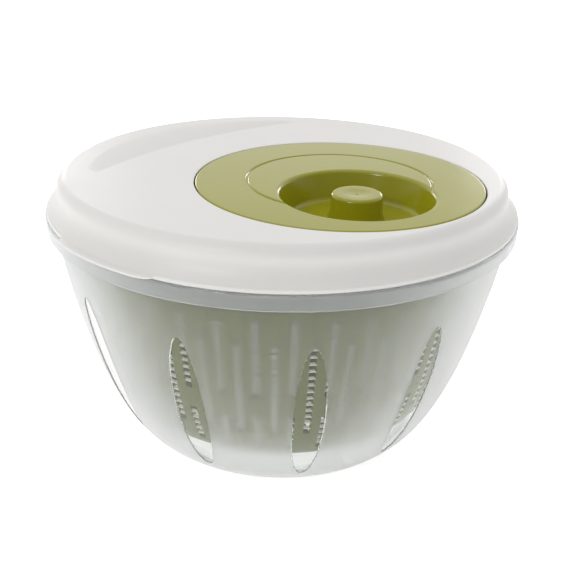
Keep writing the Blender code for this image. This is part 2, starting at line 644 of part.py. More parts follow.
def make_knob(parts):
    """Free-turning finger knob: a hollow cone with a sleeve that turns on the dial's post."""
    base = DISH_FLOOR_TOP + KNOB_FLOAT
    roof = DISH_FLOOR_TOP + POST_HEIGHT + KNOB_FLOAT
    ceiling = LID_TOP - KNOB_ROOF
    sleeve = POST_RADIUS + TURN_GAP
    sleeve_outer = sleeve + KNOB_SLEEVE
    sleeve_low = base + KNOB_SLEEVE_LIFT
    foot = KNOB_RADIUS + KNOB_FLARE
    waist = KNOB_RADIUS + KNOB_FLARE * KNOB_WAIST_SHARE
    waist_height = base + KNOB_WAIST_HEIGHT
    pilot = SHANK_RADIUS + SCREW_GAP
    profile = [(0.0, LID_TOP), (KNOB_RADIUS - KNOB_ROUND, LID_TOP),
               (KNOB_RADIUS, LID_TOP - KNOB_ROUND), (waist, waist_height),
               (foot - KNOB_LIP / 2.0, base + KNOB_LIP), (foot, base), (foot - KNOB_WALL, base),
               (waist - KNOB_WALL, waist_height), (KNOB_RADIUS - KNOB_WALL, roof),
               (sleeve_outer, roof), (sleeve_outer, sleeve_low), (sleeve, sleeve_low),
               (sleeve, roof), (pilot, roof), (pilot, ceiling), (0.0, ceiling)]
    knob = turned("crank_knob", profile, 2 * SMALL_STEPS, parts, axis=DISH_AXIS)
    knob.data.materials.append(green_plastic("crank_knob"))


# ---------------------------------------------------------------- gears

def tooth_outline(teeth, tip, root, gap):
    """Gear outline of four points a tooth; a positive gap thins the teeth at the pitch line."""
    pitch = GEAR_MODULE * teeth / 2.0
    space = 2.0 * math.pi / teeth
    lean = math.tan(PRESSURE_ANGLE)
    half = space / 4.0 - gap / (2.0 * pitch)
    at_tip = half - lean * abs(tip - pitch) / pitch
    at_root = half + lean * abs(root - pitch) / pitch
    points = []
    for i in range(teeth):
        centre = i * space
        points += [polar(root, centre - at_root), polar(tip, centre - at_tip),
                   polar(tip, centre + at_tip), polar(root, centre + at_root)]
    return points


def gear_radii(teeth):
    """Tip and root radii of a gear's teeth, outside and inside its pitch circle."""
    pitch = GEAR_MODULE * teeth / 2.0
    return pitch + ADDENDUM * GEAR_MODULE, pitch - DEDENDUM * GEAR_MODULE


def make_ring_gear(parts, cutters):
    """Ring with teeth on its inside, screwed under the dial."""
    blank = bmesh.new()
    add_cylinder(blank, BOWL_AXIS, RING_LOW, RING_TOP, RING_RIM_RADIUS, BIG_STEPS)
    ring = from_bmesh("ring_gear", blank, parts, DIAL_AXIS)
    pitch = GEAR_MODULE * RING_TEETH / 2.0
    spaces = tooth_outline(RING_TEETH, pitch + DEDENDUM * GEAR_MODULE,
                           pitch - ADDENDUM * GEAR_MODULE, -GEAR_BACKLASH)
    core = flat_outline("ring_spaces", spaces, RING_LOW - RING_FACE, RING_TOP + RING_FACE,
                        cutters, DIAL_AXIS)
    cut(ring, core, "teeth")
    holes = bmesh.new()
    for angle in RING_SCREW_ANGLES:
        add_cylinder(holes, polar(RING_SCREW_RADIUS, angle), RING_LOW - RING_FACE,
                     RING_TOP + RING_FACE, SHANK_RADIUS + SCREW_GAP, SMALL_STEPS)
    cut(ring, from_bmesh("ring_holes", holes, cutters, DIAL_AXIS), "holes")
    ring.data.materials.append(gear_plastic("ring_gear"))


def pinion_turn():
    """Turn that puts a pinion tooth in a space of the ring gear, where they mesh."""
    away = DIAL_ANGLE + math.pi
    ring_space = 2.0 * math.pi / RING_TEETH
    nearest = round(away / ring_space) * ring_space
    drift = (nearest - away) * RING_TEETH / PINION_TEETH
    return away + drift


def make_pinion(parts, cutters):
    """Pinion with its shaft in one piece; the shaft ends in a hexagon for the drive plate."""
    tip, root = gear_radii(PINION_TEETH)
    outline = tooth_outline(PINION_TEETH, tip, root, GEAR_BACKLASH)
    turn = pinion_turn()
    spun = [(x * math.cos(turn) - y * math.sin(turn), x * math.sin(turn) + y * math.cos(turn))
            for x, y in outline]
    pinion = flat_outline("drive_pinion", spun, PINION_LOW, PINION_TOP, parts)
    hub_bottom = PLATE_TOP + HEX_END_GAP
    shaft = bmesh.new()
    add_cylinder(shaft, BOWL_AXIS, HOUSING_LOW - SEAT_GAP, PINION_LOW + PINION_FACE / 2.0,
                 SHAFT_RADIUS, 2 * SMALL_STEPS)
    join(pinion, from_bmesh("pinion_shaft", shaft, cutters), "shaft")
    end = bmesh.new()
    add_cylinder(end, BOWL_AXIS, hub_bottom, HOUSING_LOW + SEAT_GAP, HEX_RADIUS, 6)
    join(pinion, from_bmesh("pinion_hexagon", end, cutters), "hexagon")
    pilot = bmesh.new()
    add_cylinder(pilot, BOWL_AXIS, hub_bottom - PLATE_THICKNESS, PINION_LOW + PINION_FACE / 3.0,
                 SHANK_RADIUS + SCREW_GAP, SMALL_STEPS)
    cut(pinion, from_bmesh("pinion_pilot", pilot, cutters), "pilot")
    pinion.data.materials.append(gear_plastic("drive_pinion"))


def make_bushing(parts):
    """Flanged sleeve in the housing's floor, in which the pinion's shaft turns."""
    flange_low = HOUSING_TOP_OF_FLOOR + SEAT_GAP
    flange_top = PINION_LOW - SEAT_GAP
    bore = SHAFT_RADIUS + SEAT_GAP
    profile = [(BUSHING_FLANGE, flange_top), (BUSHING_FLANGE, flange_low),
               (BUSHING_SLEEVE, flange_low), (BUSHING_SLEEVE, HOUSING_LOW), (bore, HOUSING_LOW),
               (bore, flange_top)]
    bushing = turned("pinion_bushing", profile, 2 * SMALL_STEPS, parts)
    bushing.data.materials.append(gear_plastic("pinion_bushing"))


def make_drive_plate(parts, cutters):
    """Disc in the basket's mouth, with notches for the basket's dogs and a hexagon bore."""
    edge = BASKET_TOP_RADIUS - BASKET_WALL - PLATE_EDGE_GAP
    hub_top = HOUSING_LOW - 2.0 * SEAT_GAP
    profile = [(0.0, hub_top), (PLATE_HUB_RADIUS, hub_top), (PLATE_HUB_RADIUS, PLATE_TOP),
               (edge, PLATE_TOP), (edge, PLATE_LOW), (0.0, PLATE_LOW)]
    plate = turned("drive_plate", profile, MEDIUM_STEPS, parts)
    notch = DOG_WIDTH / 2.0 + TURN_GAP
    depth = BASKET_TOP_RADIUS - BASKET_WALL - DOG_WIDTH - TURN_GAP
    tools = bmesh.new()
    for i in range(DOG_COUNT):
        turn = 2.0 * math.pi * i / DOG_COUNT
        add_box(tools, (depth, -notch, PLATE_LOW - PLATE_THICKNESS),
                (BASKET_TOP_RADIUS, notch, PLATE_TOP + PLATE_THICKNESS), turn)
    cut(plate, from_bmesh("plate_notches", tools, cutters), "notches")
    bore = bmesh.new()
    add_cylinder(bore, BOWL_AXIS, PLATE_TOP + SEAT_GAP, HOUSING_LOW, HEX_RADIUS + SEAT_GAP, 6)
    cut(plate, from_bmesh("plate_bore", bore, cutters), "bore")
    hole = bmesh.new()
    add_cylinder(hole, BOWL_AXIS, PLATE_LOW - PLATE_THICKNESS, HOUSING_LOW,
                 SHANK_RADIUS + SCREW_GAP, SMALL_STEPS)
    cut(plate, from_bmesh("plate_hole", hole, cutters), "hole")
    plate.data.materials.append(white_plastic("drive_plate"))


# ---------------------------------------------------------------- screws and washers

def make_screw(parts, name, axis, under_head, length):
    """Pan-head screw that points up, its head's upper face at under_head."""
    tip = under_head + length
    low = under_head - HEAD_HEIGHT
    profile = [(0.0, tip), (SHANK_RADIUS / 2.0, tip), (SHANK_RADIUS, tip - SHANK_RADIUS),
               (SHANK_RADIUS, under_head), (HEAD_RADIUS, under_head),
               (HEAD_RADIUS, low + HEAD_HEIGHT / 2.0), (HEAD_RADIUS - HEAD_HEIGHT / 2.0, low),
               (0.0, low)]
    screw = turned(name, profile, SMALL_STEPS, parts, axis=axis)
    screw.data.materials.append(steel(name))


def make_washer(parts, name, axis, top, radius):
    """Flat washer with its upper face at top."""
    bore = SHANK_RADIUS + SCREW_GAP
    low = top - WASHER_HEIGHT
    washer = turned(name, [(radius, top), (radius, low), (bore, low), (bore, top)],
                    SMALL_STEPS, parts, axis=axis)
    washer.data.materials.append(steel(name))


def make_fasteners(parts):
    """Every screw and washer: housing, ring gear, dial, knob and drive plate."""
    for number, angle in enumerate(HOUSING_SCREW_ANGLES, 1):
        x, y = polar(EAR_CIRCLE, angle)
        make_screw(parts, "housing_screw_%d" % number, DIAL_AXIS + Vector((x, y, 0.0)),
                   EAR_LOW - SEAT_GAP, LID_UNDER - EAR_LOW - SCREW_TIP_GAP)
    for number, angle in enumerate(RING_SCREW_ANGLES, 1):
        x, y = polar(RING_SCREW_RADIUS, angle)
        make_screw(parts, "ring_screw_%d" % number, DIAL_AXIS + Vector((x, y, 0.0)),
                   RING_LOW - SEAT_GAP, RING_FACE + RING_SCREW_GRIP)
    dial_washer_top = HOUSING_LOW - SEAT_GAP
    make_washer(parts, "dial_washer", DIAL_AXIS, dial_washer_top, HUB_RADIUS + 2.0 * HUB_COLLAR)
    make_screw(parts, "dial_screw", DIAL_AXIS, dial_washer_top - WASHER_HEIGHT - SEAT_GAP,
               DIAL_SCREW_LENGTH)
    knob_washer_top = DISH_FLOOR_TOP + POST_HEIGHT - POST_WALL - SEAT_GAP
    make_washer(parts, "knob_washer", DISH_AXIS, knob_washer_top,
                POST_RADIUS - POST_WALL - SEAT_GAP)
    make_screw(parts, "knob_screw", DISH_AXIS, knob_washer_top - WASHER_HEIGHT - SEAT_GAP,
               LID_TOP - KNOB_TIP_GAP - knob_washer_top + WASHER_HEIGHT)
    plate_washer_top = PLATE_LOW - SEAT_GAP
    make_washer(parts, "drive_washer", BOWL_AXIS, plate_washer_top, 2.0 * HEAD_RADIUS)
    make_screw(parts, "drive_screw", BOWL_AXIS, plate_washer_top - WASHER_HEIGHT - SEAT_GAP,
               DRIVE_SCREW_LENGTH)


def main():
    clear_scene()
    parts = make_collection("salad_spinner")
    cutters = make_collection("cutters")
    make_bowl(parts, cutters)
    make_basket(parts, cutters)
    make_lid(parts, cutters)
    make_housing(parts, cutters)
    make_dial(parts, cutters)
    make_knob(parts)
    make_ring_gear(parts, cutters)
    make_pinion(parts, cutters)
    make_bushing(parts)
    make_drive_plate(parts, cutters)
    make_fasteners(parts)


main()
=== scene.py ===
"""Looks of a salad spinner: a frosted bowl, a slotted basket and a lid with a crank dial.

Metres, +Z up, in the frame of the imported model. Each sub-assembly is a class that reads its
place from the frame, builds its meshes and dresses them.
"""
from __future__ import annotations

import logging
from dataclasses import dataclass, field, replace
from enum import Enum
from math import acos, atan2, copysign, cos, degrees, hypot, pi, radians, sin, sqrt

import bmesh
import bpy
from mathutils import Matrix, Vector


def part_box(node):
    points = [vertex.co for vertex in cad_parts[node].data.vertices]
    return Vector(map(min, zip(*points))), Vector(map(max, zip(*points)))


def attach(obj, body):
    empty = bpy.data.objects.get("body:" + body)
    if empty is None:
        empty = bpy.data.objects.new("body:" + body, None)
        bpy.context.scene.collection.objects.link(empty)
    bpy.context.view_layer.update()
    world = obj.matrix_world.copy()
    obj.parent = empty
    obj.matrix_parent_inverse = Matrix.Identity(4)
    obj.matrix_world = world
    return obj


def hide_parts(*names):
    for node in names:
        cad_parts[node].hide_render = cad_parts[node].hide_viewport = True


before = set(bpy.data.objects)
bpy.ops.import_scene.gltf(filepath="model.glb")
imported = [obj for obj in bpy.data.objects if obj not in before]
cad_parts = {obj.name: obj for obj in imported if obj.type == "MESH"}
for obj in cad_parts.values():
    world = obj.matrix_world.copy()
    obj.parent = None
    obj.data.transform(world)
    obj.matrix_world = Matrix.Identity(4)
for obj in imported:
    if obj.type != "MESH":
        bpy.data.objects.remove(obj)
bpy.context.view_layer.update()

MM = 0.001
FULL_TURN = 2.0 * pi
WELD = 0.000002  # points nearer than this are one
LOG = logging.getLogger("salad_spinner")
ORIGIN = Vector((0.0, 0.0, 0.0))
UPWARDS = Vector((0.0, 0.0, 1.0))

Point = tuple[float, float]
Outline = list[Point]
Piece = bpy.types.Object
Mesh = bmesh.types.BMesh


class Body(Enum):
    """The bodies that pieces ride on."""

    BOWL = "bowl"
    BASKET = "basket"
    LID = "lid"
    DIAL = "dial"
    KNOB = "knob"


class Slot(Enum):
    """Names for material slots, which the new pieces don't use."""

    BOWL = "bowl_frosted"
    BASKET = "basket_green"
    LID = "lid_white"
    DIAL = "dial_green"


class Carve(Enum):
    """How a tool changes a piece."""

    ADD = "UNION"
    REMOVE = "DIFFERENCE"


# ---------------------------------------------------------------- finishes

def linear(hex_colour: str) -> tuple[float, float, float, float]:
    """Turn an sRGB colour into linear light.

    Args:
        hex_colour: six hexadecimal digits after a hash.

    Returns:
        Linear red, green and blue, and an alpha of one.
    """
    channels = [int(hex_colour[i:i + 2], 16) / 255.0 for i in (1, 3, 5)]
    light = [c / 12.92 if c <= 0.04045 else ((c + 0.055) / 1.055) ** 2.4 for c in channels]
    return (light[0], light[1], light[2], 1.0)


def add_node(tree: bpy.types.NodeTree, kind: str, settings: dict, links: dict) -> bpy.types.Node:
    """Add a node with its settings and links.

    Args:
        tree: the material's node tree.
        kind: the node's type.
        settings: values by the name of an input, or of a property of the node.
        links: the sockets that feed its inputs, by the name or number of the input.

    Returns:
        The new node.
    """
    node = tree.nodes.new(kind)
    for name, value in settings.items():
        if name in node.inputs:
            node.inputs[name].default_value = value
        else:
            setattr(node, name, value)
    for name, source in links.items():
        tree.links.new(source, node.inputs[name])
    return node


def new_material(name: str) -> tuple[bpy.types.Material, bpy.types.Node, bpy.types.NodeSocket]:
    """Start a material.

    Args:
        name: the material's name.

    Returns:
        The material, its shader and the place on the piece that its patterns read.
    """
    material = bpy.data.materials.new(name)
    material.use_nodes = True
    tree = material.node_tree
    place = add_node(tree, "ShaderNodeTexCoord", {}, {}).outputs["Object"]
    return material, tree.nodes["Principled BSDF"], place


@dataclass(frozen=True)
class MouldedPlastic:
    """An injection-moulded plastic.

    A moulded skin shows slow waves in its colour and gloss, where the melt cooled unevenly, and
    the fine grain of the mould's surface.
    """

    name: str
    colour: str
    shade: str  # colour where the skin is a little deeper
    gloss: float  # roughness of the skin
    grain: float  # width of the mould's grain
    grain_height: float = 0.02 * MM
    gloss_spread: float = 0.05  # how far the roughness wanders
    index: float = 1.49  # index of refraction
    clear: float = 0.0  # share of the light that passes through
    glow: float = 0.0  # light given off: the light table's lamp, and a painted glow on the basket's rungs
    haze: float = 0.0  # pale haze of a rough skin where it is seen at a glancing angle
    haze_width: float = 0.5
    bleed: float = 0.0  # share that spreads under the skin
    bleed_depth: float = 1.0 * MM
    wave: float = 35.0 * MM  # width of the slow waves

    def make(self) -> bpy.types.Material:
        """Build the material.

        Returns:
            The material.
        """
        material, shader, place = new_material(self.name)
        tree = material.node_tree
        for name, value in (("IOR", self.index), ("Transmission Weight", self.clear),
                            ("Subsurface Weight", self.bleed),
                            ("Subsurface Scale", self.bleed_depth),
                            ("Emission Strength", self.glow), ("Sheen Weight", self.haze),
                            ("Sheen Roughness", self.haze_width)):
            shader.inputs[name].default_value = value
        waves = add_node(tree, "ShaderNodeTexNoise", {"Scale": 1.0 / self.wave, "Detail": 3.0},
                         {"Vector": place}).outputs["Fac"]
        colours = add_node(tree, "ShaderNodeMix", {"data_type": "RGBA"}, {0: waves})
        colours.inputs[6].default_value = linear(self.colour)
        colours.inputs[7].default_value = linear(self.shade)
        tree.links.new(colours.outputs[2], shader.inputs["Base Color"])
        skin = add_node(tree, "ShaderNodeTexNoise", {"Scale": 2.5 / self.wave, "Detail": 5.0},
                        {"Vector": place}).outputs["Fac"]
        gloss = add_node(tree, "ShaderNodeMapRange",
                         {"To Min": self.gloss - self.gloss_spread,
                          "To Max": self.gloss + self.gloss_spread}, {"Value": skin})
        tree.links.new(gloss.outputs["Result"], shader.inputs["Roughness"])
        grain = add_node(tree, "ShaderNodeTexNoise", {"Scale": 1.0 / self.grain, "Detail": 2.0},
                         {"Vector": place}).outputs["Fac"]
        bump = add_node(tree, "ShaderNodeBump", {"Distance": self.grain_height, "Strength": 0.5},
                        {"Height": grain})
        tree.links.new(bump.outputs["Normal"], shader.inputs["Normal"])
        return material


@dataclass(frozen=True)
class TurnedSteel:
    """Stainless steel, cold-headed and turned: rings round the screw's own axis."""

    name: str
    colour: str
    gloss: float
    ring: float  # spacing of the tool's rings

    def make(self) -> bpy.types.Material:
        """Build the material.

        Returns:
            The material.
        """
        material, shader, place = new_material(self.name)
        tree = material.node_tree
        shader.inputs["Base Color"].default_value = linear(self.colour)
        shader.inputs["Metallic"].default_value = 1.0
        rings = add_node(tree, "ShaderNodeTexNoise", {"Scale": 1.0 / self.ring, "Detail": 4.0},
                         {"Vector": place}).outputs["Fac"]
        gloss = add_node(tree, "ShaderNodeMapRange",
                         {"To Min": self.gloss * 0.7, "To Max": self.gloss * 1.4},
                         {"Value": rings})
        tree.links.new(gloss.outputs["Result"], shader.inputs["Roughness"])
        bump = add_node(tree, "ShaderNodeBump", {"Distance": 0.01 * MM, "Strength": 0.4},
                        {"Height": rings})
        tree.links.new(bump.outputs["Normal"], shader.inputs["Normal"])
        return material


# Styrene-acrylonitrile, moulded in a spark-eroded mould: a frosted skin that blurs what is behind.
# The mould's grain is about 0.05 mm and is drawn at 0.35 mm, so that it shows.
FROSTED_SKIN = MouldedPlastic("frosted_styrene", "#F4F6F5", "#EEF1F0", gloss=0.42,
                              gloss_spread=0.03, index=1.45, grain=0.35 * MM, clear=1.0,
                              haze=1.0)
# The same skin on the turned-down rim, where two walls and the air between them look milky.
MILKY_RIM = replace(FROSTED_SKIN, name="milky_styrene", clear=0.86)
# The same plastic where the mould is polished: clear and glossy, with faint flow waves.
POLISHED_SKIN = MouldedPlastic("polished_styrene", "#FAFBFA", "#F6F8F7", gloss=0.03,
                               gloss_spread=0.015, index=1.45, grain=9.0 * MM,
                               grain_height=0.03 * MM, clear=1.0)
# Polypropylene, moulded, coloured olive: waxy and satin.
BASKET_GREEN = MouldedPlastic("olive_polypropylene", "#70751A", "#696E15", gloss=0.34,
                              gloss_spread=0.06, grain=0.5 * MM)
# The same plastic on the rungs, which are under a millimetre thick: painted pale with a faint
# glow, as a painted highlight and painted glow where they catch light.
RUNG_PAINTED_HIGHLIGHT = replace(BASKET_GREEN, name="rung_painted_highlight", colour="#E2E5C4",
                     shade="#D9DDB8", gloss=0.3, gloss_spread=0.05, glow=0.13)
# Acrylonitrile butadiene styrene, moulded and glossed a little: deeper colour, softer light.
DIAL_GREEN = MouldedPlastic("olive_abs", "#9A9711", "#94910F", gloss=0.19, gloss_spread=0.03,
                            index=1.52, grain=0.6 * MM, grain_height=0.012 * MM)
# Polypropylene, moulded, white: a satin skin.
LID_WHITE = MouldedPlastic("white_polypropylene", "#E2E1DE", "#DFDDDA", gloss=0.42,
                           gloss_spread=0.06, grain=0.6 * MM, grain_height=0.015 * MM)
# Acrylonitrile butadiene styrene, moulded, white: smoother and a little glossier than the lid.
INNER_WHITE = MouldedPlastic("white_abs", "#E0E0DC", "#DADAD6", gloss=0.36, gloss_spread=0.06,
                             index=1.52, grain=0.8 * MM)
# Polyoxymethylene, moulded, natural: milky and slick.
GEAR_NATURAL = MouldedPlastic("natural_acetal", "#E6E3D8", "#DDD9CC", gloss=0.26, index=1.48,
                              grain=0.7 * MM, grain_height=0.015 * MM, bleed=0.1)
# Stainless steel, turned: even, with fine rings that break up its reflections.
SCREW_STEEL = TurnedSteel("stainless_steel", "#B9B8B4", gloss=0.28, ring=0.4 * MM)
# Opal acrylic, cast and sanded: the top of a studio light table, matt and lit from below.
OPAL_TABLE = MouldedPlastic("opal_acrylic", "#CDCDCD", "#CACACA", gloss=0.8, grain=2.0 * MM,
                            glow=0.8, wave=300.0 * MM)


# ---------------------------------------------------------------- shapes

def round_node(node: str) -> tuple[Vector, float, float]:
    """Read the place of a round CAD node.

    Args:
        node: the node's name.

    Returns:
        Where its upright axis stands, its radius and the height of its top.
    """
    low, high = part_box(node)
    axis = Vector(((low.x + high.x) / 2.0, (low.y + high.y) / 2.0, 0.0))
    return axis, (high.x - low.x) / 2.0, high.z


def polar(radius: float, angle: float) -> Point:
    """A flat point from its radius and angle."""
    return (radius * cos(angle), radius * sin(angle))


def arc(centre: Point, radius: float, start: float, end: float, count: int) -> Outline:
    """Points along an arc, both ends included.

    Args:
        centre: the arc's centre.
        radius: its radius.
        start: its first angle, in degrees.
        end: its last angle, in degrees.
        count: how many points.

    Returns:
        The points in order.
    """
    points = []
    for i in range(count):
        angle = radians(start + (end - start) * i / (count - 1))
        points.append((centre[0] + radius * cos(angle), centre[1] + radius * sin(angle)))
    return points


def inside_of(points: Outline, wall: float) -> Outline:
    """Shift an outline by a wall, to the left of its direction.

    Args:
        points: the outline, in order.
        wall: how far to shift it.

    Returns:
        One shifted point for each point.
    """
    shifted = []
    for i, (x, y) in enumerate(points):
        before = points[max(i - 1, 0)]
        after = points[min(i + 1, len(points) - 1)]
        dx, dy = after[0] - before[0], after[1] - before[1]
        size = hypot(dx, dy)
        shifted.append((x - dy / size * wall, y + dx / size * wall))
    return shifted


def spun(outline: Outline, steps: int) -> Mesh:
    """Turn an outline of (radius, height) points about the Z axis.

    Args:
        outline: the points; an end on the axis is closed there.
        steps: how many steps in the full turn.

    Returns:
        The turned mesh, its first column of points at angle zero.
    """
    mesh = bmesh.new()
    points = [mesh.verts.new((r, 0.0, z)) for r, z in outline]
    edges = [mesh.edges.new((a, b)) for a, b in zip(points, points[1:])]
    bmesh.ops.spin(mesh, geom=points + edges, cent=ORIGIN, axis=UPWARDS, angle=FULL_TURN,
                   steps=steps, use_merge=True)
    bmesh.ops.remove_doubles(mesh, verts=mesh.verts, dist=WELD)
    bmesh.ops.recalc_face_normals(mesh, faces=mesh.faces)
    return mesh


def face_out(mesh: Mesh) -> None:
    """Turn an open sheet's faces away from the Z axis, judged by its wall.

    Args:
        mesh: the sheet.
    """
    lean = sum(f.calc_area() * (f.normal.x * f.calc_center_median().x
                                + f.normal.y * f.calc_center_median().y) for f in mesh.faces)
    if lean < 0.0:
        bmesh.ops.reverse_faces(mesh, faces=mesh.faces)


def turn_mesh(mesh: Mesh, angle: float) -> None:
    """Turn a mesh about the Z axis, by an angle in radians."""
    bmesh.ops.rotate(mesh, verts=mesh.verts, cent=ORIGIN, matrix=Matrix.Rotation(angle, 3, "Z"))


def raise_sheet(mesh: Mesh, top: float) -> None:
    """Make a solid of a sheet, with a flat upper side.

    Args:
        mesh: the sheet.
        top: height of the upper side.
    """
    raised = bmesh.ops.extrude_face_region(mesh, geom=mesh.faces[:])
    for point in raised["geom"]:
        if isinstance(point, bmesh.types.BMVert):
            point.co.z = top
    bmesh.ops.recalc_face_normals(mesh, faces=mesh.faces)


def finish_mesh(name: str, mesh: Mesh, centre: Vector = ORIGIN) -> Piece:
    """Make an object of a mesh, at the origin, with its place in its points.

    Args:
        name: the object's name.
        mesh: the mesh, which is used up.
        centre: where the mesh's own origin goes.

    Returns:
        The object, linked to the scene.
    """
    bmesh.ops.translate(mesh, verts=mesh.verts, vec=centre)
    data = bpy.data.meshes.new(name)
    mesh.to_mesh(data)
    mesh.free()
    piece = bpy.data.objects.new(name, data)
    bpy.context.scene.collection.objects.link(piece)
    return piece


def modify(piece: Piece, kind: str, **settings: object) -> None:
    """Change a piece by a modifier, and make the change part of its mesh.

    Args:
        piece: the piece.
        kind: the modifier's type.
        settings: the modifier's values by their names.
    """
    change = piece.modifiers.new(kind.lower(), kind)
    for name, value in settings.items():
        setattr(change, name, value)
    bpy.context.view_layer.update()
    shaped = piece.evaluated_get(bpy.context.evaluated_depsgraph_get())
    old = piece.data
    data = bpy.data.meshes.new_from_object(shaped)
    piece.modifiers.clear()
    piece.data = data
    data.name = piece.name
    bpy.data.meshes.remove(old)


def carve(piece: Piece, tool: Piece, how: Carve) -> None:
    """Join a tool to a piece or cut it away, and use the tool up."""
    modify(piece, "BOOLEAN", operation=how.value, solver="EXACT", object=tool)
    bpy.data.objects.remove(tool, do_unlink=True)


def smooth(piece: Piece, sharp: float = 32.0) -> None:
    """Shade a piece smooth but for its sharp edges, and let flats stay flat.

    Args:
        piece: the piece.
        sharp: the angle of the least sharp edge, in degrees.
    """
    piece.data.shade_smooth()
    piece.data.set_sharp_from_angle(angle=radians(sharp))
    modify(piece, "WEIGHTED_NORMAL", keep_sharp=True, weight=100)


def dress(data: bpy.types.Mesh, finish: MouldedPlastic) -> None:
    """Give all of a mesh's faces one finish."""
    data.materials.clear()
    data.materials.append(finish.make())


def hand_over(piece: Piece, body: Body, node: str) -> None:
    """Let a piece ride on its body, in place of the node it stands for.

    Args:
        piece: the piece.
        body: what it rides on.
        node: the CAD node that it replaces.
    """
    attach(piece, body.value)
    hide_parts(node)
    LOG.info("%s: %d faces, on %s", piece.name, len(piece.data.polygons), body.value)


def pillar(radius: float, low: float, high: float, sides: int, at: Point) -> Piece:
    """An upright cylinder, for joining or cutting.

    Args:
        radius: its radius.
        low: the height of its foot.
        high: the height of its top.
        sides: how many sides.
        at: where its axis stands.

    Returns:
        The cylinder's object.
    """
    mesh = bmesh.new()
    bmesh.ops.create_cone(mesh, cap_ends=True, segments=sides, radius1=radius, radius2=radius,
                          depth=high - low)
    return finish_mesh("pillar", mesh, Vector((at[0], at[1], (low + high) / 2.0)))


def ring_of_pillars(radius: float, low: float, high: float, sides: int, axis: Vector,
                    circle: float, angles: tuple[float, ...]) -> list[Piece]:
    """Upright cylinders on a circle.

    Args:
        radius: their radius.
        low: the height of their feet.
        high: the height of their tops.
        sides: how many sides each has.
        axis: the circle's middle.
        circle: the circle's radius.
        angles: their angles on the circle, in degrees.

    Returns:
        The cylinders' objects.
    """
    pieces = []
    for angle in angles:
        x, y = polar(circle, radians(angle))
        pieces.append(pillar(radius, low, high, sides, (axis.x + x, axis.y + y)))
    return pieces


def bar(low: Vector, high: Vector, angle: float) -> Piece:
    """A box between two corners, turned about the Z axis, for joining.

    Args:
        low: its lowest corner.
        high: its highest corner.
        angle: how far it is turned, in radians.

    Returns:
        The box's object.
    """
    mesh = bmesh.new()
    bmesh.ops.create_cube(mesh, size=1.0)
    bmesh.ops.scale(mesh, verts=mesh.verts, vec=high - low)
    bmesh.ops.translate(mesh, verts=mesh.verts, vec=(high + low) / 2.0)
    turn_mesh(mesh, angle)
    return finish_mesh("bar", mesh)


def merged(pieces: list[Piece]) -> Piece:
    """One object of several that don't touch, so that they cut in one go.

    Args:
        pieces: the objects, which are used up.

    Returns:
        The one object.
    """
    mesh = bmesh.new()
    for piece in pieces:
        mesh.from_mesh(piece.data)
        bpy.data.objects.remove(piece, do_unlink=True)
    return finish_mesh("tools", mesh)


def swell(foot: float, top: float, share: float) -> float:
    """Radius of the bowl-like wall at a share of its height."""
    rise = 1.0 - (1.0 - share) ** 1.20
    return foot + (top - foot) * rise ** 0.464


# ---------------------------------------------------------------- bowl

